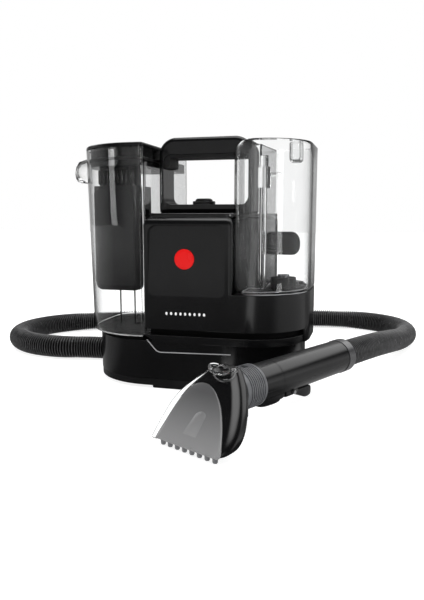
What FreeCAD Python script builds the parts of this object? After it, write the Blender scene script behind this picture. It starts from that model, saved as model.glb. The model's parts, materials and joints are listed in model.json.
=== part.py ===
"""Portable spot extractor: a small carpet and upholstery cleaner with two lift-off tanks,
a carry handle, a suction hose and a hand tool that lies on the floor in front of it.

Frame: origin on the floor under the middle of the base, X to the machine's right,
Y to its back, Z up. Millimetres. The hand tool has a frame of its own, with X along
the wand from the hose to the nozzle, and is then placed on the floor.
"""

import FreeCAD, Part
import math
import os
import re

import Sketcher

Vector = FreeCAD.Vector
ORIGIN_POINT = (-1, 1)
START, END, CENTRE = 1, 2, 3
NORTH = 90.0

DIMENSIONS = (
    ("wall", 2.5, "wall of the moulded covers"),
    ("front_wall", 6, "wall of the front cover behind its sunk panel"),
    ("tank_wall", 2.2, "wall of the clear tanks"),
    ("gap", 0.5, "side clearance of a lift-off tank"),
    ("base_left", -123, "left end of the base"),
    ("base_right", 124, "right end of the base"),
    ("base_depth", 182, "depth of the base"),
    ("base_round", 78, "plan radius of the base's ends"),
    ("foot_height", 3.5, "height of the foot frame"),
    ("foot_width", 16, "width of the foot frame's rails"),
    ("foot_radius", 5.5, "radius of a rubber foot"),
    ("tray_top", 11, "top of the base tray"),
    ("base_top", 54, "top of the base housing"),
    ("chin_top", 62, "top of the chin band"),
    ("groove_top", 69, "top of the shadow groove"),
    ("shelf_top", 109, "shelf that the clean tank stands on"),
    ("column_left", -42, "left wall of the column"),
    ("fascia_right", 58, "right edge of the column's front"),
    ("column_right", 75, "right wall of the column behind the handle"),
    ("body_right", 134, "right end of the body"),
    ("body_front", -95, "front face of the body"),
    ("body_back", 95, "back face of the column"),
    ("body_split", -50, "plane between the front and rear covers"),
    ("right_back", 60, "back of the body's right end"),
    ("front_round", 66, "plan radius of the right end, front"),
    ("back_round", 50, "plan radius of the right end, back"),
    ("column_top", 191, "top of the column covers"),
    ("deck_top", 195, "top of the deck cover"),
    ("handle_front", -44, "front face of the handle"),
    ("handle_back", -6, "back face of the handle"),
    ("handle_left", -41, "left side of the handle"),
    ("handle_right", 70, "right side of the handle"),
    ("handle_post", 6, "thickness of the handle's posts"),
    ("ledge_top", 205, "bottom edge of the hand opening"),
    ("grip_bottom", 257, "top edge of the hand opening"),
    ("handle_top", 280, "top of the handle"),
    ("dirty_left", -131, "left end of the dirty tank at its bottom"),
    ("dirty_flare", 5, "how far the dirty tank leans out to its top"),
    ("dirty_front", -90, "front of the dirty tank"),
    ("dirty_back", 73, "back of the dirty tank"),
    ("dirty_bottom", 57, "bottom of the dirty tank"),
    ("dirty_top", 267, "rim of the dirty tank"),
    ("dirty_round", 74, "plan radius of the dirty tank's front left corner"),
    ("clean_bottom", 109.4, "bottom of the clean tank"),
    ("clean_top", 270, "rim of the clean tank"),
    ("motor_x", 15, "motor axis, across"),
    ("motor_y", 30, "motor axis, back"),
    ("shaft_radius", 4, "radius of the motor shaft"),
    ("shaft_play", 0.05, "radial clearance of a running fit"),
    ("button_x", 8, "power button, across"),
    ("button_y", -25, "power button, back"),
    ("hose_diameter", 30, "outer diameter of the hose"),
    ("hose_height", 15, "height of the hose's axis on the floor"),
    ("hose_exit_x", -121, "where the hose leaves the base, across"),
    ("hose_exit_y", 27, "where the hose leaves the base, back"),
    ("wand_axis", 37, "height of the wand's axis above the floor"),
    ("barrel_radius", 18, "outer radius of the wand barrel"),
    ("barrel_wall", 2.5, "wall of the wand barrel"),
    ("barrel_seam", -5, "height of the seam between the barrel's shells"),
    ("collar_start", 163, "start of the tool collar along the wand"),
    ("collar_end", 190, "end of the tool collar along the wand"),
    ("collar_radius", 20, "outer radius of the tool collar"),
    ("neck_radius", 13, "radius of the tool's neck"),
    ("trigger_pin_x", 108, "trigger pin along the wand"),
    ("trigger_pin_z", -17, "trigger pin below the wand's axis"),
    ("trigger_pin_radius", 2, "radius of the trigger pin"),
    ("tool_length", 78, "length of the tool's fan-shaped face"),
    ("tool_width", 84, "width of the tool's mouth"),
    ("tool_top_width", 46, "width of the tool's face at its top"),
    ("tool_depth", 20, "thickness of the tool"),
    ("window_thick", 2.5, "thickness of the clear window"),
)
ALIASES = {alias for alias, _, _ in DIMENSIONS}

# The hose's route, from the machine's port round its left loop, behind the machine
# and round its right loop to the tail of the wand.
HOSE_ROUTE = (
    (-121, 27, 15),
    (-161, 27, 15),
    (-209.3, 14.1, 15),
    (-266, 26.2, 15),
    (-308.4, 68.6, 15),
    (-319.9, 127.5, 15),
    (-294.7, 184.2, 15),
    (-241.3, 223, 15),
    (-168, 254, 15),
    (-92, 271, 15),
    (-15, 296, 15),
    (58, 325, 15),
    (126, 341, 15),
    (190, 338, 15),
    (240, 299, 15),
    (256, 240, 15),
    (243, 175, 18),
    (224, 104, 28),
    (200.37, 28.6, 37),
    (170, -30, 37),
)
WAND_TAIL = (170, -30)
WAND_HEADING = -117.4

doc = FreeCAD.newDocument("spot_extractor")
sheet = doc.addObject("Spreadsheet::Sheet", "dims")
nodes = {}


def fill_sheet():
    """One row for each driving dimension: what it is, and its value with its alias."""
    for row, (alias, size, meaning) in enumerate(DIMENSIONS, start=1):
        sheet.set(f"A{row}", meaning)
        sheet.set(f"B{row}", str(size))
        sheet.setAlias(f"B{row}", alias)
    doc.recompute()


def bound(formula):
    """A formula's text with every alias written as a reference to the sheet."""
    def reference(match):
        word = match.group()
        return f"dims.{word}" if word in ALIASES else word
    return re.sub(r"[a-z]\w*", reference, str(formula))


def size_of(formula):
    """The number that a formula gives with the sheet's values."""
    return float(probe.evalExpression(bound(formula)))


def plus(formula, step):
    """A formula a step further along."""
    return f"{formula} + ({step})"


# ---------------------------------------------------------------- sketches


def new_body(label):
    body = doc.addObject("PartDesign::Body", label)
    body.Label = label
    return body


def new_sketch(body, role, offset):
    """A sketch on one of the body's own planes, an offset along that plane's normal."""
    sketch = body.newObject("Sketcher::SketchObject", f"{body.Name}_sketch")
    plane = next(item for item in body.Origin.OriginFeatures if item.Role == role)
    sketch.AttachmentSupport = [(plane, "")]
    sketch.MapMode = "FlatFace"
    sketch.setExpression("AttachmentOffset.Base.z", bound(offset))
    return sketch


def bind(sketch, constraint, formula):
    """Add a constraint whose value follows a formula."""
    index = sketch.addConstraint(constraint)
    sketch.setExpression(f"Constraints[{index}]", bound(formula))


def draw_outline(sketch, corners):
    """Closed outline of level and upright lines. Each corner is (x, y, radius) in formulas."""
    points = [Vector(size_of(x), size_of(y), 0) for x, y, _ in corners]
    radii = [size_of(radius) for _, _, radius in corners]
    count = len(corners)
    steps = [(points[(i + 1) % count] - points[i]).normalize() for i in range(count)]
    lines = []
    for i in range(count):
        start = points[i] + steps[i] * radii[i]
        end = points[(i + 1) % count] - steps[i] * radii[(i + 1) % count]
        lines.append(sketch.addGeometry(Part.LineSegment(start, end), False))
    for i, line in enumerate(lines):
        level = abs(steps[i].y) < abs(steps[i].x)
        sketch.addConstraint(Sketcher.Constraint("Horizontal" if level else "Vertical", line))
        axis, at, formula = ("DistanceY", points[i].y, corners[i][1]) if level else (
            "DistanceX", points[i].x, corners[i][0])
        bind(sketch, Sketcher.Constraint(axis, *ORIGIN_POINT, line, START, at), formula)
    for i, line in enumerate(lines):
        before = lines[i - 1]
        if radii[i] == 0:
            sketch.addConstraint(Sketcher.Constraint("Coincident", before, END, line, START))
            continue
        draw_corner(sketch, points[i], steps[i - 1], steps[i], radii[i], (before, line), corners[i][2])


def draw_corner(sketch, corner, arriving, leaving, radius, sides, formula):
    """A corner's arc, tangent to the lines on both sides of it."""
    centre = corner - arriving * radius + leaving * radius
    first = corner - arriving * radius - centre
    second = corner + leaving * radius - centre
    turns_left = arriving.cross(leaving).z > 0
    low, high = (first, second) if turns_left else (second, first)
    start = math.atan2(low.y, low.x)
    circle = Part.Circle(centre, Vector(0, 0, 1), radius)
    arc = sketch.addGeometry(Part.ArcOfCircle(circle, start, start + math.pi / 2), False)
    enter, leave = (START, END) if turns_left else (END, START)
    sketch.addConstraint(Sketcher.Constraint("Tangent", sides[0], END, arc, enter))
    sketch.addConstraint(Sketcher.Constraint("Tangent", arc, leave, sides[1], START))
    bind(sketch, Sketcher.Constraint("Radius", arc, radius), formula)


def draw_polygon(sketch, corners):
    """Closed outline of straight lines in any direction. Each corner is (x, y) in formulas."""
    points = [Vector(size_of(x), size_of(y), 0) for x, y in corners]
    lines = []
    for i, point in enumerate(points):
        lines.append(sketch.addGeometry(Part.LineSegment(point, points[(i + 1) % len(points)]), False))
    for i, line in enumerate(lines):
        sketch.addConstraint(Sketcher.Constraint("Coincident", lines[i - 1], END, line, START))
        x, y = corners[i]
        bind(sketch, Sketcher.Constraint("DistanceX", *ORIGIN_POINT, line, START, points[i].x), x)
        bind(sketch, Sketcher.Constraint("DistanceY", *ORIGIN_POINT, line, START, points[i].y), y)


def draw_circle(sketch, x, y, radius):
    centre = Vector(size_of(x), size_of(y), 0)
    circle = sketch.addGeometry(Part.Circle(centre, Vector(0, 0, 1), size_of(radius)), False)
    bind(sketch, Sketcher.Constraint("Radius", circle, size_of(radius)), radius)
    bind(sketch, Sketcher.Constraint("DistanceX", *ORIGIN_POINT, circle, CENTRE, centre.x), x)
    bind(sketch, Sketcher.Constraint("DistanceY", *ORIGIN_POINT, circle, CENTRE, centre.y), y)


def block(x0, x1, y0, y1, radius=0):
    """Corners of a rounded rectangle with one radius."""
    return [(x0, y0, radius), (x1, y0, radius), (x1, y1, radius), (x0, y1, radius)]


# ---------------------------------------------------------------- features


def extrude(body, role, shape, start, end, cut=False):
    """Add or cut the shape's extrusion between two heights along X, Y or Z.

    shape is a list of outline corners, a list of polygon points, or a tuple (x, y, radius).
    """
    offset = f"-({end})" if role == "XZ_Plane" else start
    sketch = new_sketch(body, role, offset)
    if isinstance(shape, tuple):
        draw_circle(sketch, *shape)
    elif len(shape[0]) == 2:
        draw_polygon(sketch, shape)
    else:
        draw_outline(sketch, shape)
    kind = "PartDesign::Pocket" if cut else "PartDesign::Pad"
    before = 0.0
    if cut:
        doc.recompute()
        before = body.Shape.Volume
    feature = body.newObject(kind, f"{body.Name}_{'pocket' if cut else 'pad'}")
    feature.Profile = sketch
    feature.setExpression("Length", bound(f"({end}) - ({start})"))
    feature.Reversed = cut
    body.Tip = feature
    if cut:
        doc.recompute()
        if not body.Shape.Volume < before:
            raise RuntimeError(f"a pocket in {body.Label} cuts nothing")
    return feature


def slab(label, shape, start, end, role="XY_Plane"):
    """A body made of one extrusion."""
    body = new_body(label)
    extrude(body, role, shape, start, end)
    return body


def taper(body, first, second, start, end, cut=False):
    """Add or cut a loft between two outlines at two heights."""
    profile = new_sketch(body, "XY_Plane", start)
    draw_outline(profile, first)
    section = new_sketch(body, "XY_Plane", end)
    draw_outline(section, second)
    kind = "PartDesign::SubtractiveLoft" if cut else "PartDesign::AdditiveLoft"
    feature = body.newObject(kind, f"{body.Name}_loft")
    feature.Profile = profile
    feature.Sections = [section]
    feature.Ruled = True
    body.Tip = feature


def round_edges(body, radius, wanted):
    """Fillet the edges whose middle point passes the test."""
    doc.recompute()
    base = body.Tip
    names = []
    for number, edge in enumerate(body.Shape.Edges, start=1):
        middle = edge.valueAt((edge.FirstParameter + edge.LastParameter) / 2)
        if wanted(middle):
            names.append(f"Edge{number}")
    fillet = body.newObject("PartDesign::Fillet", f"{body.Name}_fillet")
    fillet.Base = (base, names)
    fillet.setExpression("Radius", bound(radius))
    body.Tip = fillet
    doc.recompute()
    if "Invalid" in fillet.State:
        raise RuntimeError(f"the edges of {body.Label} can't take the radius {radius}")


def box(name, x0, x1, y0, y1, z0, z1):
    item = doc.addObject("Part::Box", name)
    for side, low, high in (("Length", x0, x1), ("Width", y0, y1), ("Height", z0, z1)):
        item.setExpression(side, bound(f"({high}) - ({low})"))
    for axis, low in (("x", x0), ("y", y0), ("z", z0)):
        item.setExpression(f"Placement.Base.{axis}", bound(low))
    return item


def cylinder(name, radius, start, end, at, along="z"):
    """A round bar between two stations along an axis. at holds its other two coordinates."""
    item = doc.addObject("Part::Cylinder", name)
    item.setExpression("Radius", bound(radius))
    item.setExpression("Height", bound(f"({end}) - ({start})"))
    others = [axis for axis in "xyz" if axis != along]
    turns = {"x": (Vector(0, 1, 0), NORTH), "y": (Vector(1, 0, 0), -NORTH), "z": (Vector(0, 0, 1), 0)}
    item.Placement.Rotation = FreeCAD.Rotation(*turns[along])
    for axis, formula in zip(others, at):
        item.setExpression(f"Placement.Base.{axis}", bound(formula))
    item.setExpression(f"Placement.Base.{along}", bound(start))
    return item


def cut(name, base, *tools):
    """The base with each tool cut away in turn."""
    for number, tool in enumerate(tools):
        item = doc.addObject("Part::Cut", name if number == len(tools) - 1 else f"{name}_step")
        item.Base = base
        item.Tool = tool
        base = item
    return base


def fuse(name, *items):
    item = doc.addObject("Part::MultiFuse", name)
    item.Shapes = list(items)
    return item


def common(name, first, second):
    item = doc.addObject("Part::Common", name)
    item.Base = first
    item.Tool = second
    return item


def group(name, items):
    """Identical loose pieces that share one node."""
    item = doc.addObject("Part::Compound", name)
    item.Links = list(items)
    return item


def tube(name, outer, inner, start, end, at, along="z"):
    return cut(name, cylinder(f"{name}_outer", outer, start, end, at, along),
               cylinder(f"{name}_bore", inner, plus(start, -1), plus(end, 1), at, along))


def node(label, item, placement=None):
    """Give a finished piece its label and its place, and list it for export."""
    if placement is not None:
        item.Label = f"{label}_shape"
        item = group(f"{label}_placed", [item])
        item.Placement = placement
    for other in doc.getObjectsByLabel(label):
        other.Label = f"{label}_base"
    item.Label = label
    nodes[label] = item
    return item


# ---------------------------------------------------------------- base


def base_outline(inset):
    """The base's plan, an inset inside its outer face."""
    x0, x1 = f"base_left + {inset}", f"base_right - {inset}"
    y0, y1 = f"-base_depth / 2 + {inset}", f"base_depth / 2 - {inset}"
    return block(x0, x1, y0, y1, f"base_round - {inset}")


def build_foot_frame():
    """Low ring that the machine stands on, set back under the tray."""
    def ring(inset):
        x0, x1 = f"-36 + {inset}", f"104 - {inset}"
        y0, y1 = f"-88 + {inset}", f"88 - {inset}"
        return [(x0, y0, 4), (x1, y0, f"60 - {inset}"), (x1, y1, f"60 - {inset}"), (x0, y1, 4)]
    body = slab("foot_frame", ring(0), 0, "foot_height")
    extrude(body, "XY_Plane", ring("foot_width"), 0, "foot_height", cut=True)
    pads = []
    for x, y in foot_places():
        extrude(body, "XY_Plane", (x, y, "foot_radius"), 0, 2.5, cut=True)
        pads.append(cylinder("rubber_foot", "foot_radius", 0, 2.5, (x, y)))
    node("foot_frame", body)
    node("rubber_feet", group("rubber_feet_group", pads))


def foot_places():
    return [(x, y) for x in ("-36 + foot_width / 2", "64") for y in ("-88 + foot_width / 2", "88 - foot_width / 2")]


def build_base():
    """Tray and housing, both open where the hose's port stands."""
    tray = slab("base_tray", base_outline(0.5), "foot_height", "tray_top")
    extrude(tray, "XY_Plane", base_outline(3), "foot_height + wall", "tray_top", cut=True)
    housing = slab("lower_housing", base_outline(0), "tray_top", "base_top")
    extrude(housing, "XY_Plane", base_outline("wall"), "tray_top", "base_top - wall", cut=True)
    extrude(housing, "XY_Plane", block(-30, 60, -40, 60, 4), "base_top - wall", "base_top", cut=True)
    port_space = block("hose_exit_y - 19", "hose_exit_y + 19", -1, 34)
    for body in (tray, housing):
        extrude(body, "YZ_Plane", port_space, -140, -100, cut=True)
    screws = []
    for x, y in screw_places():
        extrude(tray, "XY_Plane", (x, y, 2), "foot_height", "foot_height + wall", cut=True)
        head = cylinder("base_screw_head", 4, "foot_height - 2", "foot_height", (x, y))
        shank = cylinder("base_screw_shank", 2, "foot_height", 16, (x, y))
        screws.append(fuse("base_screw", head, shank))
    node("base_tray", tray)
    gland_hole = cylinder("gland_hole", 7, 80, 100, (-20, 30), "y")
    node("lower_housing", cut("lower_housing_bored", housing, gland_hole))
    node("base_screws", group("base_screws_group", screws))


def screw_places():
    return [(-85, -40), (-85, 25), (60, -45), (60, 45)]


def build_hose_port():
    body = slab("hose_port", block("hose_exit_y - 19", "hose_exit_y + 19", 0.5, 34), "hose_exit_x", -100, "YZ_Plane")
    extrude(body, "YZ_Plane", ("hose_exit_y", "hose_height", 11), "hose_exit_x", -100, cut=True)
    round_edges(body, 6, lambda p: abs(p.x + 110.5) < 1 and p.z > 30)
    node("hose_port", body)


def build_cord_gland():
    """Flanged bush in the back wall for the mains cord, which isn't part of this model."""
    node("cord_gland", tube("cord_gland", 7, 3.5, 86, 97, (-20, 30), "y"))


def build_platform():
    """Seat for the dirty tank on the left of the base."""
    corners = [(-122, -88, 73), ("column_left - gap", -88, 3), ("column_left - gap", 72, 3), (-122, 72, 50)]
    node("dirty_tank_seat", slab("dirty_tank_seat", corners, "base_top", "dirty_bottom"))


def build_chin():
    """Band under the shadow groove, with its left end cut off at a slope."""
    def plan(inset):
        x0, x1 = f"column_left + {inset}", f"body_right - 2 - {inset}"
        y0, y1 = f"body_front + {inset}", f"10 - {inset}"
        return [(x0, y0, 2), (x1, y0, f"front_round - 2 - {inset}"), (x1, y1, 2), (x0, y1, 2)]
    body = slab("chin_band", plan(0), "base_top", "chin_top")
    extrude(body, "XY_Plane", plan(9), "base_top", "chin_top", cut=True)
    extrude(body, "XY_Plane", block(-60, 150, "body_split - 0.2", 20), "base_top", "chin_top", cut=True)
    corner = [("column_left - 1", "base_top - 1"), ("column_left + 15", "base_top - 1"),
              ("column_left - 1", "chin_top + 0.5")]
    extrude(body, "XZ_Plane", corner, -100, "body_split", cut=True)
    node("chin_band", body)


def build_chassis():
    """Plate set back in the shadow groove. The motor and the pump stand on it."""
    def plan(inset):
        x0, x1, x2 = f"column_left + 5 + {inset}", f"body_right - 7 - {inset}", f"column_right - 6 - {inset}"
        y0, y1, y2 = f"body_front + 6 + {inset}", f"right_back - 6 - {inset}", f"body_back - 6 - {inset}"
        return [(x0, y0, 3), (x1, y0, f"front_round - 7 - {inset}"), (x1, y1, f"back_round - 7 - {inset}"),
                (x2, y1, 0), (x2, y2, 3), (x0, y2, 3)]
    body = slab("chassis_plate", plan(0), "chin_top", "groove_top")
    extrude(body, "XY_Plane", plan(3), "chin_top + wall", "groove_top", cut=True)
    extrude(body, "XY_Plane", block(-34, 66, -38, 86, 4), "base_top", "chin_top")
    extrude(body, "XY_Plane", block(-29, 61, -33, 81, 3), "base_top", "chin_top", cut=True)
    node("chassis_plate", body)


# ---------------------------------------------------------------- covers


def low_plan(inset, front=0):
    x0, x1, x2 = f"column_left + {inset}", f"body_right - {inset}", f"column_right - {inset}"
    y0, y1, y2 = f"body_front + {front}", f"right_back - {inset}", f"body_back - {inset}"
    return [(x0, y0, 4), (x1, y0, f"front_round - {inset} - {front}"), (x1, y1, f"back_round - {inset}"),
            (x2, y1, 0), (x2, y2, 4), (x0, y2, 4)]


def high_plan(inset, front=0):
    x0, x1, x2 = f"column_left + {inset}", f"fascia_right - {inset}", f"column_right - {inset}"
    y0, y1, y2 = f"body_front + {front}", f"handle_front + {inset}", f"body_back - {inset}"
    return [(x0, y0, 4), (x1, y0, 4), (x1, y1, 0), (x2, y1, 3), (x2, y2, 4), (x0, y2, 4)]


def build_covers():
    """Front and rear covers: one thin shell, split on an upright plane."""
    outer_high = slab("cover_outer_high", high_plan(0), "shelf_top - 10", "column_top")
    round_edges(outer_high, 9, lambda p: p.z > 190 and p.y < -94)
    outer = fuse("cover_outer", slab("cover_outer_low", low_plan(0), "base_top", "shelf_top"), outer_high)
    inner = fuse(
        "cover_inner",
        slab("cover_inner_low", low_plan("wall", "front_wall"), "base_top - 1", "shelf_top - wall"),
        slab("cover_inner_high", high_plan("wall", "front_wall"), "shelf_top - 20", "column_top - wall"))
    shell = cut("cover_shell", outer, inner)
    front_half = box("front_half", -60, 150, -120, "body_split - 0.2", "groove_top", 220)
    rear_half = box("rear_half", -60, 150, "body_split", 120, 40, 220)
    front = common("front_shell", shell, front_half)
    rear = common("rear_shell", shell, rear_half)
    badge_hole = cylinder("badge_hole", 11, -120, -85, (5, 146), "y")
    seal_hole = cylinder("receiver_hole", 9, 100, 112, (100, -10))
    node("front_cover", cut("front_cover", front, panel_recess(), badge_hole))
    stem_hole = cylinder("stem_hole", 4.2, 180, 200, ("button_x", "button_y"))
    grille_hole = box("grille_hole", -15, 45, 90, 100, 75, 125)
    node("rear_cover", cut("rear_cover", rear, stem_hole, grille_hole, seal_hole))


def panel_recess():
    """Tilted block that sinks the front panel: deep at its top, flush at its bottom."""
    body = slab("panel_recess", [(-36, 0, 6), (50, 0, 6), (50, 76, 9), (-36, 76, 9)], -6, 0, "XZ_Plane")
    body.Placement = FreeCAD.Placement(Vector(0, -95, 106), FreeCAD.Rotation(Vector(1, 0, 0), -2.7))
    return body


def build_badge():
    """Plain round emblem and a row of plain pips on the front."""
    node("badge", cylinder("badge", 11, -94, -89, (5, 146), "y"))


def build_deck():
    plan = [("column_left + 2", "body_front + 11", 8), ("fascia_right - 2", "body_front + 11", 8),
            ("fascia_right - 2", "handle_front + 2", 0), ("column_right - 2", "handle_front + 2", 3),
            ("column_right - 2", "body_back - 2", 6), ("column_left + 2", "body_back - 2", 6)]
    body = slab("deck_cover", plan, "column_top", "deck_top")
    extrude(body, "XY_Plane", ("button_x", "button_y", 4.2), "column_top", "deck_top", cut=True)
    round_edges(body, 2, lambda p: p.z > 194.9 and (p.y < -80 or p.y > 90 or p.x < -39))
    node("deck_cover", body)


def build_grille():
    """Slotted outlet for the motor's air, in the back of the rear cover."""
    body = slab("exhaust_grille", block(-15, 45, 75, 125), "body_back - wall", "body_back + 1", "XZ_Plane")
    for row in range(8):
        low = f"79 + {row} * 5.5"
        extrude(body, "XZ_Plane", block(-11, 41, low, plus(low, 3)), "body_back - wall", "body_back + 1", cut=True)
    node("exhaust_grille", body)


def build_cord_wrap():
    """Paddle on the back that the mains cord is wound on."""
    body = slab("cord_wrap", [(45, 140, 8), (110, 140, 13), (110, 171, 15), (45, 171, 8)],
                "body_back + 6", "body_back + 10", "XZ_Plane")
    extrude(body, "XZ_Plane", block(50, 70, 147, 164, 3), "body_back", "body_back + 6")
    node("cord_wrap", body)


# ---------------------------------------------------------------- handle


def build_handle():
    """Carry loop in two halves, with a soft pad under its grip."""
    ring = slab("handle_ring", [("handle_left", "deck_top", 3), ("handle_right", "deck_top", 3),
                                ("handle_right", "handle_top", 22), ("handle_left", "handle_top", 20)],
                "handle_front", "handle_back", "XZ_Plane")
    opening = block("handle_left + handle_post", "handle_right - handle_post", "ledge_top", "grip_bottom + 4", 9)
    extrude(ring, "XZ_Plane", opening, "handle_front", "handle_back", cut=True)
    round_edges(ring, 5, lambda p: p.z > 262 and (p.y < -43 or p.y > -7))
    hollow = block("handle_left + 6", "handle_right - 6", "grip_bottom + 7", "handle_top - 4", 5)
    cavity = slab("handle_cavity", hollow, "handle_front + 4", "handle_back - 4", "XZ_Plane")
    stem_hole = cylinder("ledge_hole", 4.2, 190, 210, ("button_x", "button_y"))
    shell = cut("handle_shell", ring, stem_hole, cavity)
    middle = "(handle_front + handle_back) / 2"
    node("handle_front", common("handle_front_half", shell, box("handle_front_side", -60, 90, -60, middle, 190, 300)))
    node("handle_rear", common("handle_rear_half", shell, box("handle_rear_side", -60, 90, middle, 10, 190, 300)))
    x0, x1 = "handle_left + handle_post", "handle_right - handle_post"
    pad = slab("grip_pad_shape", [(x0, 246, 0), (plus(x0, 7), 246, 3), (plus(x0, 7), "grip_bottom", 0),
                                  (x1, "grip_bottom", 0), (x1, 262, 0), (x0, 262, 0)],
               "handle_front + 3", "handle_back - 3", "XZ_Plane")
    space = slab("grip_pad_space", opening, "handle_front", "handle_back", "XZ_Plane")
    node("grip_pad", common("grip_pad", pad, space))


def build_button():
    """Power button: a domed cap in a bezel, with a stem down to the switch."""
    def plan(half_x, half_y, radius):
        return block(f"button_x - {half_x}", f"button_x + {half_x}", f"button_y - {half_y}", f"button_y + {half_y}",
                     radius)
    bezel = slab("button_bezel", plan(13, 10, 9), "ledge_top", "ledge_top + 4")
    extrude(bezel, "XY_Plane", plan(10.4, 7.4, 7), "ledge_top", "ledge_top + 4", cut=True)
    round_edges(bezel, 1.2, lambda p: p.z > 208.9 and (abs(p.x - 8) > 11 or abs(p.y + 25) > 9))
    node("button_bezel", bezel)
    cap = slab("power_button", plan(10, 7, 6.5), "ledge_top + 3.2", "ledge_top + 7")
    round_edges(cap, 3, lambda p: p.z > 211.9)
    extrude(cap, "XY_Plane", ("button_x", "button_y", 4), 188, "ledge_top + 3.3")
    node("power_button", cap)
    switch = slab("power_switch", plan(9, 7, 1), 160, 182)
    extrude(switch, "XY_Plane", ("button_x", "button_y", 3), 182, 185)
    node("power_switch", switch)


# ---------------------------------------------------------------- motor, fan and pump


def build_motor():
    at = ("motor_x", "motor_y")
    can = tube("motor_can_wall", 34, 27, 84, 146, at)
    ends = [tube("motor_can_end", 27, "shaft_radius + shaft_play", low, plus(low, 3), at) for low in (84, 143)]
    node("motor_can", fuse("motor_can_body", can, *ends))
    node("motor_cushion", tube("motor_cushion", 40, 34, 100, 112, at))
    core = cylinder("armature_core", 25, 92, 136, at)
    shaft = cylinder("motor_shaft", "shaft_radius", 68, 150, at)
    node("motor_armature", fuse("motor_armature_body", core, shaft))
    drum = cut("fan_drum", cylinder("fan_drum_outer", 44, "chin_top + wall", 84, at),
               cylinder("fan_drum_inner", 41, 67, 81.5, at), cylinder("fan_inlet", 12, 60, 70, at),
               cylinder("fan_shaft_hole", 8, 80, 90, at))
    node("fan_housing", drum)


def build_fan():
    """Impeller: a disc with a hub on the shaft, and upright vanes."""
    at = ("motor_x", "motor_y")
    disc = cylinder("fan_disc", 38, 69, 71, at)
    hub = cylinder("fan_hub", 8, 71, 79, at)
    vanes = []
    vane_count = 12
    for number in range(vane_count):
        vane = box("fan_vane", 9, 37, -0.8, 0.8, 71, 79)
        turn = FreeCAD.Rotation(Vector(0, 0, 1), 360.0 * number / vane_count)
        holder = group("fan_vane_place", [vane])
        holder.Placement = FreeCAD.Placement(Vector(size_of("motor_x"), size_of("motor_y"), 0), turn)
        vanes.append(holder)
    link = tube("fan_hub_web", 10, 7, 71, 79, at)
    wheel = fuse("fan_wheel", disc, hub, link, *vanes)
    node("fan_impeller", cut("fan_impeller", wheel, cylinder("fan_bore", "shaft_radius", 60, 90, at)))


def build_pump():
    floor = "chin_top + wall"
    bracket = slab("pump_bracket", block(76, 120, -24, 30, 4), floor, plus(floor, 2))
    node("pump_bracket", bracket)
    body = slab("pump_body", block(80, 112, -20, 26, 5), plus(floor, 2), 92)
    extrude(body, "XZ_Plane", (92, 80, 8), -34, -20)
    node("pump_body", body)
    node("tank_receiver", cut("tank_receiver", cylinder("receiver_cup", 14, 97, "shelf_top - wall", (100, -10)),
                              cylinder("receiver_well", 8, 101, 110, (100, -10))))
    node("receiver_seal", tube("receiver_seal", 9, 5, "shelf_top - wall", "shelf_top", (100, -10)))
    duct = slab("air_duct", block(-37, -12, -82, -56, 3), 75, 184)
    extrude(duct, "XY_Plane", block(-35, -14, -80, -58, 2), 75, 184, cut=True)
    node("air_duct", duct)
    node("control_board", slab("control_board", block(-5, 45, 80, 140, 2), -60, -58.4, "XZ_Plane"))


# ---------------------------------------------------------------- tanks


def dirty_plan(lean, inset=0):
    """Plan of the dirty tank, leaning out to the left, an inset inside its outer face."""
    x0, x1 = f"dirty_left - {lean} + {inset}", f"column_left - gap - {inset}"
    y0, y1 = f"dirty_front + {inset}", f"dirty_back - {inset}"
    return [(x0, y0, f"dirty_round - {inset}"), (x1, y0, f"5 - {inset} / 2"), (x1, y1, f"5 - {inset} / 2"),
            (x0, y1, f"48 - {inset}")]


def build_dirty_tank():
    """Clear jug with a rolled rim and a finger tab on its outer side."""
    body = new_body("dirty_tank")
    taper(body, dirty_plan(0), dirty_plan("dirty_flare"), "dirty_bottom", "dirty_top")
    extrude(body, "XY_Plane", block(-148, -126, -42, -14, 4), 229, 258)
    slope = [(-160, 218), (-160, 258.5), (-137.5, 258.5), (-148.5, 247), (-148.5, 238), (-139, 218)]
    extrude(body, "XZ_Plane", slope, -48, -8, cut=True)
    taper(body, dirty_plan(0, "tank_wall"), dirty_plan("dirty_flare", "tank_wall"),
          "dirty_bottom + tank_wall", "dirty_top", cut=True)
    node("dirty_tank", body)


def build_lid():
    """Black lid: a tall cap in front, a low step behind, and a seal round the cap's plug."""
    def plug(inset):
        return [(f"dirty_left - dirty_flare + {inset}", f"dirty_front + {inset}", f"dirty_round - {inset}"),
                (f"column_left - gap - {inset}", f"dirty_front + {inset}", 4),
                (f"column_left - gap - {inset}", -8, 3), (f"dirty_left - dirty_flare + {inset}", -8, 3)]
    body = slab("tank_lid", plug(5), "dirty_top - 20", "dirty_top")
    extrude(body, "XY_Plane", plug(0), "dirty_top", "dirty_top + 4")
    round_edges(body, 2.5, lambda p: p.z > 270.9)
    step = [(-130.5, -8.5, 0), (-46, -8.5, 0), (-46, 69, 4), (-130.5, 69, 42)]
    extrude(body, "XY_Plane", step, "dirty_top - 20", "dirty_top - 9")
    node("tank_lid", body)
    gasket = slab("lid_gasket", plug(3.2), "dirty_top - 14", "dirty_top - 11")
    ring = cut("lid_gasket_ring", gasket, slab("lid_gasket_hole", plug(5), 240, 265), box(
        "lid_gasket_trim", -150, -40, -8.7, 20, 240, 265))
    node("lid_gasket", ring)


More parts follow.
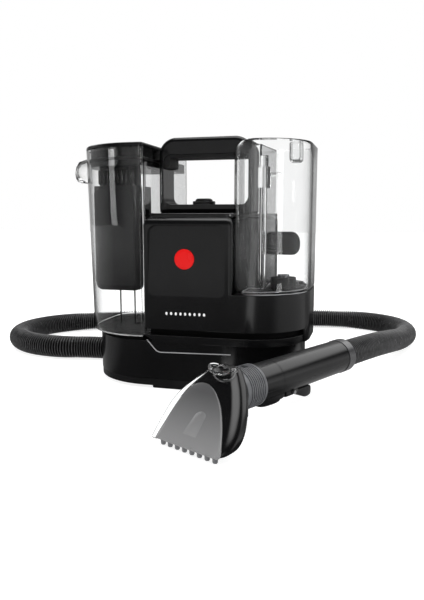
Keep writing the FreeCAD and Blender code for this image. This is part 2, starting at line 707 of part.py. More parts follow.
def build_separator():
    """Air and water separator that hangs from the lid, with its float inside."""
    body = slab("separator", block(-117, -61, -60, -12, 9), 105, 226)
    round_edges(body, 8, lambda p: p.z < 105.1)
    extrude(body, "XZ_Plane", [(-113, 112, 5), (-65, 112, 5), (-65, 222, 12), (-113, 222, 5)], -61.2, -60)
    extrude(body, "XY_Plane", block(-112, -66, -55, -17, 8), 226, "dirty_top - 20")
    for side in (-61, -117):
        slot = block(-48, -24, 150, 200, 6)
        extrude(body, "YZ_Plane", slot, side - 4, side + 4, cut=True)
    extrude(body, "XY_Plane", block(-114, -64, -57, -15, 6), 108, 222, cut=True)
    node("separator", body)
    float_at = (-89, -36)
    node("float_ball", slab("float_ball", (*float_at, 14), 110, 132))


def clean_plan(inset=0):
    x0, x1, x2 = f"fascia_right + gap + {inset}", f"body_right - {inset}", f"column_right + 2 + {inset}"
    y0, y1, y2 = f"body_front + {inset}", f"right_back - {inset}", f"handle_front - 1 - {inset}"
    return [(x0, y0, f"8 - {inset}"), (x1, y0, f"front_round - {inset}"), (x1, y1, f"back_round - {inset}"),
            (x2, y1, 4), (x2, y2, 0), (x0, y2, 4)]


def build_clean_tank():
    """Clear jug with a pouring lip on its right, a filler cap below and a vent tube inside."""
    body = slab("clean_tank", clean_plan(), "clean_bottom", "clean_top")
    extrude(body, "XY_Plane", block(110, 139, -22, 2, 8), 256, "clean_top")
    slope = [(134.5, 254), (150, 254), (150, 269.5)]
    extrude(body, "XZ_Plane", slope, -30, 10, cut=True)
    round_edges(body, 7, lambda p: p.x < 60 and p.z < 110)
    extrude(body, "XY_Plane", clean_plan("tank_wall"), "clean_bottom + tank_wall", "clean_top", cut=True)
    extrude(body, "XY_Plane", block(112, 137, -20, 0, 6), 258, "clean_top", cut=True)
    hole = cylinder("cap_hole", 15, 100, 120, (100, -10))
    node("clean_tank", cut("clean_tank_bored", body, hole))
    cap_top = "clean_bottom + 12"
    cap = cut("tank_cap", cylinder("tank_cap_body", 15, "clean_bottom", cap_top, (100, -10)),
              cylinder("tank_cap_well", 8, 100, "clean_bottom + 6", (100, -10)),
              cylinder("tank_cap_bore", "3 + shaft_play", 100, 140, (100, -10)))
    node("tank_cap", cap)
    poppet = fuse("valve_poppet", cylinder("poppet_stem", 3, "clean_bottom + 1", "clean_bottom + 12", (100, -10)),
                  cylinder("poppet_head", 7, "clean_bottom + 12", "clean_bottom + 15", (100, -10)))
    node("valve_poppet", poppet)
    vent_at = (84, -56)
    vent = tube("vent_tube", 3.5, 2, "clean_bottom + tank_wall", 222, vent_at)
    node("vent_tube", vent)
    valve = fuse("vent_valve", cylinder("vent_valve_body", 7, 222, 244, vent_at),
                 cylinder("vent_valve_top", 4.5, 244, 256, vent_at),
                 cylinder("vent_barb", 2, 88, 102, (-56, 236), "x"))
    node("vent_valve", valve)


# ---------------------------------------------------------------- wand and tool


def wand_place():
    x, y = WAND_TAIL
    return FreeCAD.Placement(Vector(x, y, size_of("wand_axis")), FreeCAD.Rotation(Vector(0, 0, 1), WAND_HEADING))


AXIS = (0, 0)


def build_barrel():
    """Barrel of the wand: tail cuff, two upper shells and the lower shell with its housing."""
    place = wand_place()
    node("wand_tail_cuff", tube("wand_tail_cuff", 18.5, 11, 0.3, 12.6, AXIS, "x"), place)
    pipe = tube("barrel_pipe", "barrel_radius", "barrel_radius - barrel_wall", 13, "collar_start - 0.4", AXIS, "x")
    rear_box = box("upper_rear_side", 0, 134, -30, 30, "barrel_seam", 30)
    nose_box = box("upper_nose_side", 134.4, 200, -30, 30, "barrel_seam", 30)
    node("wand_upper_shell", common("wand_upper_shell", pipe, rear_box), place)
    node("wand_nose_shell", common("wand_nose_shell", pipe, nose_box), place)
    under = common("barrel_under", pipe, box("lower_side", 0, 200, -30, 30, -30, "barrel_seam - 0.1"))
    housing = slab("trigger_housing", [(90, -24, 4), ("collar_start - 0.4", -24, 2), ("collar_start - 0.4", -11, 0),
                                       (90, -11, 0)], -12, 12, "XZ_Plane")
    solid = fuse("wand_lower_solid", under, housing)
    bore = cylinder("barrel_bore", "barrel_radius - barrel_wall", 10, 180, AXIS, "x")
    trigger_slot = box("trigger_slot", 64, 114.5, -6, 6, -30, -10)
    valve_space = box("valve_space", 117, 155, -5, 5, -21.5, -10)
    pin_hole = cylinder("pin_hole", "trigger_pin_radius", -14, 14, ("trigger_pin_x", "trigger_pin_z"), "y")
    node("wand_lower_shell", cut("wand_lower_shell", solid, bore, trigger_slot, valve_space, pin_hole), place)
    node("wand_inner_tube", tube("wand_inner_tube", 12.5, 10.5, 13, "collar_start - 1", AXIS, "x"), place)
    node("trigger_pin", cylinder("trigger_pin", "trigger_pin_radius", -12, 12,
                                 ("trigger_pin_x", "trigger_pin_z"), "y"), place)
    node("spray_valve", cylinder("spray_valve", 3, 118, 154, (0, -17.5), "x"), place)


def build_trigger():
    """Spray trigger: a hooked lever on a cross pin under the barrel."""
    outline = [(112.5, -14.6), (100, -14.9), (94, -17), (84, -25), (75, -28.5), (73, -31.5), (78, -33.5), (88, -31),
               (100, -21.5), (112.5, -19.6)]
    lever = slab("trigger_lever", outline, -5, 5, "XZ_Plane")
    hole = cylinder("trigger_hole", "trigger_pin_radius + shaft_play", -8, 8, ("trigger_pin_x", "trigger_pin_z"), "y")
    node("trigger", cut("trigger", lever, hole), wand_place())


def build_collar():
    """Ribbed grey collar that the tool plugs into, with a lug below and a latch slot on top."""
    body = slab("collar_shape", (0, 0, "collar_radius - 0.8"), "collar_start", "collar_end", "YZ_Plane")
    extrude(body, "YZ_Plane", (0, 0, "collar_radius"), "collar_start", "collar_start + 3")
    for number in range(7):
        start = f"collar_start + 4.4 + {number} * 2.6"
        extrude(body, "YZ_Plane", (0, 0, "collar_radius"), start, plus(start, 1.4))
    extrude(body, "YZ_Plane", block(-7, 7, -26, -15), "collar_start + 12", "collar_end - 2")
    extrude(body, "YZ_Plane", (0, 0, "neck_radius + 0.3"), "collar_start", "collar_end", cut=True)
    extrude(body, "YZ_Plane", block(-4, 4, 16, 25), "collar_start + 8", "collar_start + 15", cut=True)
    node("tool_collar", body, wand_place())
    nozzle = cylinder("spray_nozzle", 2.8, "collar_end - 2", "collar_end + 8", (0, -23.1), "x")
    node("spray_nozzle", nozzle, wand_place())


def fan_outline(inset):
    """The tool's fan-shaped face: x across it, y down it from the top of the tool."""
    top = f"tool_top_width / 2 - {inset}"
    half = f"tool_width / 2 - {inset}"
    shoulder = f"tool_width / 2 - 6 - {inset}"
    return [(f"-({top}) + 9", str(inset)), (f"{top} - 9", str(inset)), (top, f"9 + {inset}"),
            (shoulder, "tool_length / 2"), (half, "tool_length"), (f"-({half})", "tool_length"),
            (f"-({shoulder})", "tool_length / 2"), (f"-({top})", f"9 + {inset}")]


def tool_face_place():
    """From the tool's face to the wand's frame: the face leans back at 45 degrees."""
    slope = math.sqrt(0.5)
    turn = FreeCAD.Rotation(Vector(0, -1, 0), Vector(slope, 0, -slope), Vector(slope, 0, slope), "XYZ")
    return FreeCAD.Placement(Vector(208, 0, 17), turn)


def on_face(name, body):
    """A piece drawn on the tool's face, set in the wand's frame."""
    item = group(name, [body])
    item.Placement = tool_face_place()
    return item


def build_tool():
    """Upholstery tool: black fan-shaped body, clear window, brush strip."""
    place = wand_place()
    below = box("below_mouth", 150, 320, -60, 60, -90, -32)
    outer = on_face("tool_outer", slab("tool_outer_fan", fan_outline(0), "-tool_depth", "-window_thick"))
    inner = on_face("tool_inner", slab("tool_inner_fan", fan_outline(3), "3 - tool_depth", "-window_thick + 1"))
    neck = cylinder("tool_neck", "neck_radius", 174, 206, AXIS, "x")
    bore = cylinder("tool_bore", "neck_radius - 2.5", 170, 206, AXIS, "x")
    clip = box("tool_face_side", 150, 300, -60, 60, -60, 60)
    shell = cut("tool_shell", common("tool_clip", fuse("tool_solid", outer, neck), clip), inner, bore, below,
                on_face("tool_front_space", slab("tool_front_slab", block(-60, 60, -30, 120), "-window_thick", 40)))
    node("tool_body", shell, place)
    pane = on_face("window_pane", slab("window_slab", fan_outline(0), "-window_thick", 0))
    tab = slab("latch_tab", block(193, 211, -10, 10, 6), 18, 22)
    extrude(tab, "XY_Plane", block(197, 207, -6, 6, 3), 18, 22, cut=True)
    leg = box("latch_leg", 207.5, 211, -5, 5, 12, 19)
    window = cut("tool_window", fuse("window_clear", pane, tab, leg), below, outer)
    node("tool_window", window, place)
    teeth = [box("brush_bar", 246.5, 250.5, -36, 36, -32, -30.2)]
    tooth_count = 8
    for number in range(tooth_count):
        teeth.append(cylinder("brush_tooth", 2.3, -36.9, -31, (248.5, f"-33 + {number} * 66 / 7")))
    node("brush_strip", fuse("brush_strip", *teeth), place)


# ---------------------------------------------------------------- hose


def hose_path():
    """Straight runs joined by tangent arcs, each arc as large as its two runs allow."""
    points = [Vector(*point) for point in HOSE_ROUTE]
    edges = []
    radii = []
    last = points[0]
    for before, corner, after in zip(points, points[1:], points[2:]):
        arriving = (corner - before).normalize()
        leaving = (after - corner).normalize()
        shorter = min((corner - before).Length, (after - corner).Length)
        trim = 0.45 * shorter
        half_turn = arriving.getAngle(leaving) / 2
        radius = trim / math.tan(half_turn)
        radii.append(radius)
        start = corner - arriving * trim
        end = corner + leaving * trim
        inward = (leaving - arriving).normalize()
        middle = corner + inward * (radius / math.cos(half_turn) - radius)
        edges.append(Part.LineSegment(last, start).toShape())
        edges.append(Part.Arc(start, middle, end).toShape())
        last = end
    edges.append(Part.LineSegment(last, points[-1]).toShape())
    return Part.Wire(edges), radii


def build_hose():
    """The hose as a plain round bar of its true length along its route on the floor."""
    path, radii = hose_path()
    radius = size_of("hose_diameter / 2")
    first = Vector(*HOSE_ROUTE[1]) - Vector(*HOSE_ROUTE[0])
    circle = Part.Wire(Part.Circle(Vector(*HOSE_ROUTE[0]), first.normalize(), radius).toShape())
    hose = doc.addObject("Part::Feature", "hose")
    hose.Shape = path.makePipeShell([circle], True, False)
    expected = math.pi * radius ** 2 * path.Length
    if abs(hose.Shape.Volume - expected) > 0.01 * expected:
        raise RuntimeError("the hose's volume isn't its section times its length")
    print("hose length", round(path.Length), "arc radii", [round(value) for value in radii])
    node("hose", hose)


# ---------------------------------------------------------------- checks and export


def check_document():
    doc.recompute()
    for item in doc.Objects:
        if {"Invalid", "Error"} & set(item.State):
            raise RuntimeError(f"{item.Label} is {item.State}")
    for label, item in nodes.items():
        if item.Label != label:
            raise RuntimeError(f"{label} has the label {item.Label}")
        if item.Shape.isNull() or not item.Shape.isValid() or not item.Shape.Solids:
            raise RuntimeError(f"{label} has no valid solid")


def export_nodes():
    os.makedirs("parts", exist_ok=True)
    for label, item in nodes.items():
        item.Shape.exportStep(f"parts/{label}.step")


fill_sheet()
probe = new_body("probe")
for build in (
        build_foot_frame, build_base, build_hose_port, build_cord_gland, build_platform, build_chin, build_chassis,
        build_covers, build_badge, build_deck, build_grille, build_cord_wrap, build_handle, build_button,
        build_motor, build_fan, build_pump, build_dirty_tank, build_lid, build_separator, build_clean_tank,
        build_barrel, build_trigger, build_collar, build_tool, build_hose):
    build()
check_document()
export_nodes()
print(len(nodes), "nodes")
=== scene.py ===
import json
import math

import bmesh
import bpy
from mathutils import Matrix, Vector


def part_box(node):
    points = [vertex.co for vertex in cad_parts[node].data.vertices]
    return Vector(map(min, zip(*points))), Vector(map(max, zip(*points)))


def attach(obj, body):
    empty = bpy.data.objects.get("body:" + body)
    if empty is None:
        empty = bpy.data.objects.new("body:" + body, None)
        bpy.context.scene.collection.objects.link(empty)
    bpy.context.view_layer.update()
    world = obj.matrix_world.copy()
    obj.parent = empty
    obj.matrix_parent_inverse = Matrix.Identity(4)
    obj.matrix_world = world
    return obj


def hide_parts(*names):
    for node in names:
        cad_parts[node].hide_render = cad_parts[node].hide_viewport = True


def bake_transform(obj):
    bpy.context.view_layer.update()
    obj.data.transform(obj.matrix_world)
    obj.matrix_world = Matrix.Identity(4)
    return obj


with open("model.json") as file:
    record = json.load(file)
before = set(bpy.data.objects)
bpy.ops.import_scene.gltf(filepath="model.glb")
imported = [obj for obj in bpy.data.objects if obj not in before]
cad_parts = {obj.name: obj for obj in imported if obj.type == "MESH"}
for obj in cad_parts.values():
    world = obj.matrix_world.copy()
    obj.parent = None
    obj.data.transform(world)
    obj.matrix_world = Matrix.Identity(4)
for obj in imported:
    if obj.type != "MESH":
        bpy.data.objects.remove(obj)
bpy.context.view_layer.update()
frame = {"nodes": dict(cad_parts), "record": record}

# ---------------------------------------------------------------- camera

CAMERA_AT = Vector((0.200, -0.706, 0.193))
CAMERA_HEADING = Vector((-0.2562, 0.9564, -0.1402))


def make_camera():
    """A 36 mm lens at the height of the machine's shoulders, turned a little to its left."""
    data = bpy.data.cameras.new("camera")
    data.sensor_width = 36.0
    data.lens = 36.0
    data.clip_start = 0.01
    data.clip_end = 50.0
    camera = bpy.data.objects.new("camera", data)
    camera.location = CAMERA_AT
    camera.rotation_euler = CAMERA_HEADING.to_track_quat("-Z", "Y").to_euler()
    bpy.context.scene.collection.objects.link(camera)
    bpy.context.scene.camera = camera
    bpy.context.scene.view_settings.view_transform = "Standard"


make_camera()

# ---------------------------------------------------------------- node helpers


def new_material(name):
    """A material with its node tree and its Principled shader."""
    material = bpy.data.materials.new(name)
    material.use_nodes = True
    shader = material.node_tree.nodes["Principled BSDF"]
    return material, material.node_tree, shader


def add_node(tree, kind, inputs=None, **settings):
    """A node with its settings and its unlinked inputs set."""
    node = tree.nodes.new(kind)
    for key, value in settings.items():
        setattr(node, key, value)
    for key, value in (inputs or {}).items():
        node.inputs[key].default_value = value
    return node


def noise(tree, scale, detail=3.0, stretch=(1.0, 1.0, 1.0)):
    """Noise in the part's own coordinates, in features per metre."""
    place = add_node(tree, "ShaderNodeTexCoord")
    mapping = add_node(tree, "ShaderNodeMapping", {"Scale": stretch})
    texture = add_node(tree, "ShaderNodeTexNoise", {"Scale": scale, "Detail": detail})
    tree.links.new(place.outputs["Object"], mapping.inputs["Vector"])
    tree.links.new(mapping.outputs["Vector"], texture.inputs["Vector"])
    return texture.outputs["Fac"]


def remap(tree, source, low, high, from_low=0.3, from_high=0.7):
    """A value carried from one range over to another, and held at its ends."""
    node = add_node(tree, "ShaderNodeMapRange",
                    {"From Min": from_low, "From Max": from_high, "To Min": low, "To Max": high})
    tree.links.new(source, node.inputs["Value"])
    return node.outputs["Result"]


def band(tree, source, start, end, low, high):
    """Soft step between two values of a direction."""
    if end < start:
        start, end, low, high = end, start, high, low
    limits = {"From Min": start, "From Max": end, "To Min": low, "To Max": high}
    node = add_node(tree, "ShaderNodeMapRange", limits, interpolation_type="SMOOTHSTEP")
    tree.links.new(source, node.inputs["Value"])
    return node.outputs["Result"]


def times(tree, first, second):
    """Product of two values."""
    node = add_node(tree, "ShaderNodeMath", operation="MULTIPLY")
    tree.links.new(first, node.inputs[0])
    tree.links.new(second, node.inputs[1])
    return node.outputs[0]


def plus(tree, first, second):
    """Sum of two values."""
    node = add_node(tree, "ShaderNodeMath", operation="ADD")
    tree.links.new(first, node.inputs[0])
    tree.links.new(second, node.inputs[1])
    return node.outputs[0]


def mix_colours(tree, factor, first, second):
    """Colour between two colours, by a factor from 0 to 1."""
    node = add_node(tree, "ShaderNodeMix", data_type="RGBA")
    node.inputs["A"].default_value = (*first, 1.0)
    node.inputs["B"].default_value = (*second, 1.0)
    tree.links.new(factor, node.inputs["Factor"])
    return node.outputs["Result"]


def bump(tree, shader, height, strength, distance, edge=0.0):
    """Surface relief. An edge radius also rounds the way that sharp corners catch the light."""
    node = add_node(tree, "ShaderNodeBump", {"Strength": strength, "Distance": distance})
    tree.links.new(height, node.inputs["Height"])
    if edge:
        bevel = add_node(tree, "ShaderNodeBevel", {"Radius": edge}, samples=4)
        tree.links.new(bevel.outputs["Normal"], node.inputs["Normal"])
    tree.links.new(node.outputs["Normal"], shader.inputs["Normal"])


def moulded(name, colour, worn, roughness, grain, grain_scale=2600.0, specular=0.5, edge=0.0007):
    """Moulded plastic: its colour drifts, its gloss is smeared and grained, and level tops are duller."""
    material, tree, shader = new_material(name)
    drift = noise(tree, 38.0, 4.0)
    base = mix_colours(tree, remap(tree, drift, 0.0, 1.0), colour, worn)
    tree.links.new(base, shader.inputs["Base Color"])
    smear = noise(tree, 90.0, 5.0, (1.0, 1.0, 0.35))
    level = add_node(tree, "ShaderNodeTexCoord")
    parts = add_node(tree, "ShaderNodeSeparateXYZ")
    tree.links.new(level.outputs["Normal"], parts.inputs["Vector"])
    dull = remap(tree, parts.outputs["Z"], 0.0, 0.45, 0.90, 0.995)
    rough = plus(tree, remap(tree, smear, roughness[0], roughness[1]), dull)
    tree.links.new(rough, shader.inputs["Roughness"])
    bump(tree, shader, noise(tree, grain_scale, 2.0), grain, 0.00012, edge)
    shader.inputs["Specular IOR Level"].default_value = specular
    return material


def metal(name, colour, roughness, stretch):
    """Drawn or turned metal with fine lines along one direction."""
    material, tree, shader = new_material(name)
    lines = noise(tree, 900.0, 3.0, stretch)
    base = mix_colours(tree, lines, tuple(0.8 * part for part in colour), colour)
    tree.links.new(base, shader.inputs["Base Color"])
    tree.links.new(remap(tree, lines, roughness - 0.08, roughness + 0.1), shader.inputs["Roughness"])
    bump(tree, shader, lines, 0.25, 0.00008)
    shader.inputs["Metallic"].default_value = 1.0
    return material


def clear(name, tint, edge, roughness):
    """Clear moulded plastic: faint flow marks, and painted shade where it is seen edge on: its colour darkens
    there, standing in for the darker surroundings it would mirror.
    """
    material, tree, shader = new_material(name)
    flow = noise(tree, 30.0, 2.0, (1.0, 1.0, 0.4))
    facing = add_node(tree, "ShaderNodeLayerWeight", {"Blend": 0.35})
    # Painted shade: the colour turns from the tint to the edge colour as the surface turns edge on.
    base = mix_colours(tree, remap(tree, facing.outputs["Facing"], 0.0, 1.0, 0.35, 0.95), tint, edge)
    tree.links.new(base, shader.inputs["Base Color"])
    tree.links.new(remap(tree, noise(tree, 70.0), roughness, roughness + 0.02), shader.inputs["Roughness"])
    bump(tree, shader, flow, 0.03, 0.0005)
    shader.inputs["Transmission Weight"].default_value = 1.0
    shader.inputs["IOR"].default_value = 1.36
    return material


def smoked(name, low, high, dark, light):
    """Smoked plastic over a dark air channel, with painted light and shade: its colour is paler low down
    towards the mouth, where more light gets in, and darker higher up.
    """
    material, tree, shader = new_material(name)
    place = add_node(tree, "ShaderNodeTexCoord")
    parts = add_node(tree, "ShaderNodeSeparateXYZ")
    tree.links.new(place.outputs["Object"], parts.inputs["Vector"])
    # Painted light and shade: the colour runs from the pale colour at the bottom to the dark colour at the
    # top.
    fade = remap(tree, parts.outputs["Z"], 0.0, 1.0, low, high)
    base = mix_colours(tree, fade, light, dark)
    tree.links.new(base, shader.inputs["Base Color"])
    tree.links.new(remap(tree, noise(tree, 120.0), 0.16, 0.24), shader.inputs["Roughness"])
    bump(tree, shader, noise(tree, 60.0), 0.05, 0.0004, 0.0005)
    shader.inputs["Transmission Weight"].default_value = 0.12
    shader.inputs["IOR"].default_value = 1.47
    return material


def shaded_tank_floor(name):
    """Thin clear floor of a tank, with painted shade: its colour is near-black and half see-through, so it
    shows the dark seat below it, and it hardly mirrors anything.
    """
    material, tree, shader = new_material(name)
    tree.links.new(remap(tree, noise(tree, 60.0), 0.45, 0.55), shader.inputs["Alpha"])
    tree.links.new(remap(tree, noise(tree, 90.0), 0.25, 0.4), shader.inputs["Roughness"])
    # Painted shade: a near-black colour on clear plastic.
    shader.inputs["Base Color"].default_value = (0.01, 0.01, 0.01, 1.0)
    shader.inputs["Specular IOR Level"].default_value = 0.1
    return material


def ribbed(name, valley, crest_highlight, roughness):
    """Hose plastic with painted light and shade: near-black in the valleys as painted shade, and paler on the
    crests of the ribs as a painted highlight, broken up by noise.
    """
    material, tree, shader = new_material(name)
    # The crest mask sets where the painted highlight goes; noise breaks it up.
    height = add_node(tree, "ShaderNodeAttribute", attribute_name="crest_highlight")
    highlight_breakup = remap(tree, noise(tree, 160.0, 4.0), 0.55, 1.0)
    amount = add_node(tree, "ShaderNodeMath", operation="MULTIPLY")
    tree.links.new(height.outputs["Fac"], amount.inputs[0])
    tree.links.new(highlight_breakup, amount.inputs[1])
    base = mix_colours(tree, amount.outputs[0], valley, crest_highlight)
    tree.links.new(base, shader.inputs["Base Color"])
    tree.links.new(remap(tree, noise(tree, 90.0), roughness[0], roughness[1]), shader.inputs["Roughness"])
    bump(tree, shader, noise(tree, 2000.0, 2.0), 0.1, 0.0001)
    return material


LOOKS = {
    "black_gloss": moulded("black_gloss", (0.0025, 0.0025, 0.0028), (0.004, 0.004, 0.0043), (0.13, 0.18),
                           0.02),
    "black_matte": moulded("black_matte", (0.004, 0.004, 0.0045), (0.007, 0.007, 0.0075), (0.34, 0.46), 0.25,
                           specular=0.4),
    # Painted shade: a darker copy of the black plastic that hardly mirrors anything, for pieces that sit deep
    # in shade.
    "black_shade": moulded("black_shade", (0.002, 0.002, 0.002), (0.004, 0.004, 0.004), (0.5, 0.6), 0.2,
                           specular=0.04),
    "grey_matte": moulded("grey_matte", (0.085, 0.087, 0.093), (0.105, 0.107, 0.113), (0.24, 0.34), 0.2),
    "rubber_black": moulded("rubber_black", (0.006, 0.006, 0.006), (0.011, 0.011, 0.011), (0.55, 0.7), 0.4,
                            1500.0),
    # Hose: its valley colour is painted shade, its crest colour a painted highlight.
    "hose_black": ribbed("hose_black", (0.0008, 0.0008, 0.001), (0.085, 0.085, 0.087), (0.20, 0.28)),
    "red_gloss": moulded("red_gloss", (0.62, 0.006, 0.006), (0.70, 0.010, 0.010), (0.22, 0.30), 0.03,
                         specular=0.2),
    "board_green": moulded("board_green", (0.02, 0.12, 0.05), (0.03, 0.17, 0.07), (0.4, 0.55), 0.2),
    "steel": metal("steel", (0.56, 0.56, 0.58), 0.32, (1.0, 1.0, 0.05)),
    "copper_steel": metal("copper_steel", (0.50, 0.36, 0.26), 0.38, (0.05, 0.05, 6.0)),
    # Clear plastic: its second colour is painted shade where the surface is seen edge on.
    "clear_plastic": clear("clear_plastic", (0.97, 0.973, 0.973), (0.16, 0.165, 0.17), 0.0),
    # Tank floors: a near-black colour as painted shade.
    "shaded_tank_floor": shaded_tank_floor("shaded_tank_floor"),
    # Smoked plastic: the two colours are painted light at the bottom and painted shade at the top.
    "smoke_clear": smoked("smoke_clear", 0.008, 0.042, (0.075, 0.075, 0.077), (0.225, 0.225, 0.227)),
    "smoke_pale": smoked("smoke_pale", 0.008, 0.042, (0.088, 0.088, 0.090), (0.26, 0.26, 0.262)),
    "cuff_grey": moulded("cuff_grey", (0.030, 0.030, 0.032), (0.042, 0.042, 0.044), (0.14, 0.2), 0.05,
                         specular=0.9),
    "white_print": moulded("white_print", (0.80, 0.80, 0.80), (0.86, 0.86, 0.86), (0.35, 0.45), 0.1),
    # Pale grey for beads that are painted highlights along edges and rims.
    "painted_highlight": moulded("painted_highlight", (0.30, 0.30, 0.31), (0.42, 0.42, 0.43), (0.12, 0.2), 0.02),
}

SLOTS = {row["node"]: row["material_slot"] for row in frame["record"]["subparts"]}
# Deep or shaded pieces, which get painted shade: a darker copy of the black plastic that hardly shines.
LOW_SHINE = ("dirty_tank_seat", "tank_receiver", "receiver_seal", "chassis_plate")

for label, obj in frame["nodes"].items():
    obj.data.materials.clear()
    obj.data.materials.append(LOOKS[SLOTS[label]])
frame["nodes"]["wand_tail_cuff"].data.materials[0] = LOOKS["cuff_grey"]
for label in LOW_SHINE:
    frame["nodes"][label].data.materials[0] = LOOKS["black_shade"]

# ---------------------------------------------------------------- mesh helpers


def full_turn(count):
    """Angles at even steps all the way round."""
    return [2 * math.pi * k / count for k in range(count)]


def new_object(name, bm, look, smooth=True):
    """An object from a finished bmesh, with one material."""
    mesh = bpy.data.meshes.new(name)
    bmesh.ops.recalc_face_normals(bm, faces=bm.faces)
    bm.to_mesh(mesh)
    bm.free()
    for polygon in mesh.polygons:
        polygon.use_smooth = smooth
    obj = bpy.data.objects.new(name, mesh)
    obj.data.materials.append(look)
    bpy.context.scene.collection.objects.link(obj)
    return obj


def piece(name, bm, slot, body, stands_for=(), sharp=40, floor_height=None):
    """A finished rigid piece on one body, with its sharp edges kept sharp."""
    obj = new_object(name, bm, LOOKS[slot])
    if floor_height is not None:
        # Level faces low in a tank take the floor look with its painted shade.
        obj.data.materials.append(LOOKS["shaded_tank_floor"])
        for polygon in obj.data.polygons:
            level = abs(polygon.normal.z) > 0.9 and polygon.center.z < floor_height
            polygon.material_index = 1 if level else 0
    obj.data.set_sharp_from_angle(angle=math.radians(sharp))
    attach(obj, body)
    if stands_for:
        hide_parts(*stands_for)
    return obj


def skin(bm, rings, close_ends=True):
    """Skin a row of rings with the same number of points."""
    loops = [[bm.verts.new(point) for point in ring] for ring in rings]
    count = len(loops[0])
    for first, second in zip(loops, loops[1:]):
        for i in range(count):
            j = (i + 1) % count
            bm.faces.new((first[i], first[j], second[j], second[i]))
    if close_ends:
        bm.faces.new(list(reversed(loops[0])))
        bm.faces.new(loops[-1])
    return loops


def rounded_loop(corners, steps=10):
    """Points round a closed plan outline. Each corner is (x, y, radius), anticlockwise."""
    points = []
    count = len(corners)
    for i, (x, y, radius) in enumerate(corners):
        corner = Vector((x, y))
        before = (Vector(corners[i - 1][:2]) - corner).normalized()
        after = (Vector(corners[(i + 1) % count][:2]) - corner).normalized()
        half = before.angle(after) / 2
        reach = radius / math.tan(half)
        start, end = corner + before * reach, corner + after * reach
        centre = corner + (before + after).normalized() * radius / math.sin(half)
        for k in range(steps + 1):
            share = k / steps
            spoke = ((start - centre) * (1 - share) + (end - centre) * share).normalized()
            if radius == 0:
                spoke = Vector((0.0, 0.0))
            points.append(centre + spoke * radius)
    return points


def walk(points, step):
    """Points at even steps along a line, with the line's direction at each."""
    lengths = [0.0]
    for first, second in zip(points, points[1:]):
        lengths.append(lengths[-1] + (second - first).length)
    count = max(2, round(lengths[-1] / step))
    stations = []
    segment = 0
    for number in range(count + 1):
        target = lengths[-1] * number / count
        while segment < len(points) - 2 and lengths[segment + 1] < target:
            segment += 1
        span = lengths[segment + 1] - lengths[segment]
        share = (target - lengths[segment]) / span
        stations.append(points[segment].lerp(points[segment + 1], share))
    directions = []
    for number in range(len(stations)):
        before = stations[max(0, number - 1)]
        after = stations[min(len(stations) - 1, number + 1)]
        directions.append((after - before).normalized())
    return list(zip(stations, directions))


def bead(bm, points, radius, around=10, closed=False):
    """A round bead along a line of points."""
    rings = []
    count = len(points)
    for number, point in enumerate(points):
        before = points[number - 1] if closed or number else point
        after = points[(number + 1) % count] if closed or number < count - 1 else point
        along = (after - before).normalized()
        side = along.cross(Vector((0.13, 0.21, 1.0))).normalized()
        up = side.cross(along)
        rings.append([point + (side * math.cos(angle) + up * math.sin(angle)) * radius
                      for angle in full_turn(around)])
    if closed:
        rings.append(rings[0])
        skin(bm, rings, close_ends=False)
        bmesh.ops.remove_doubles(bm, verts=bm.verts, dist=0.000001)
    else:
        skin(bm, rings)


# ---------------------------------------------------------------- hose

HOSE_ROUTE = (
    (-0.121, 0.027, 0.015),
    (-0.161, 0.027, 0.015),
    (-0.2093, 0.0141, 0.015),
    (-0.266, 0.0262, 0.015),
    (-0.3084, 0.0686, 0.015),
    (-0.3199, 0.1275, 0.015),
    (-0.2947, 0.1842, 0.015),
    (-0.2413, 0.223, 0.015),
    (-0.168, 0.254, 0.015),
    (-0.092, 0.271, 0.015),
    (-0.015, 0.296, 0.015),
    (0.058, 0.325, 0.015),
    (0.126, 0.341, 0.015),
    (0.190, 0.338, 0.015),
    (0.240, 0.299, 0.015),
    (0.256, 0.240, 0.015),
    (0.243, 0.175, 0.018),
    (0.224, 0.104, 0.028),
    (0.20037, 0.0286, 0.037),
    (0.170, -0.030, 0.037),
)
HOSE_RADIUS = 0.015
RIB_DEPTH = 0.0028
RIB_PITCH = 0.0035


def hose_line():
    """Points along the hose's own NURBS spline, close together."""
    data = bpy.data.curves.new("hose_line", "CURVE")
    data.dimensions = "3D"
    data.resolution_u = 24
    spline = data.splines.new("NURBS")
    spline.points.add(len(HOSE_ROUTE) - 1)
    for point, place in zip(spline.points, HOSE_ROUTE):
        point.co = (*place, 1.0)
    spline.order_u = 3
    spline.use_endpoint_u = True
    holder = bpy.data.objects.new("hose_line", data)
    mesh = bpy.data.meshes.new_from_object(holder)
    points = [vertex.co.copy() for vertex in mesh.vertices]
    bpy.data.objects.remove(holder)
    bpy.data.meshes.remove(mesh)
    return points


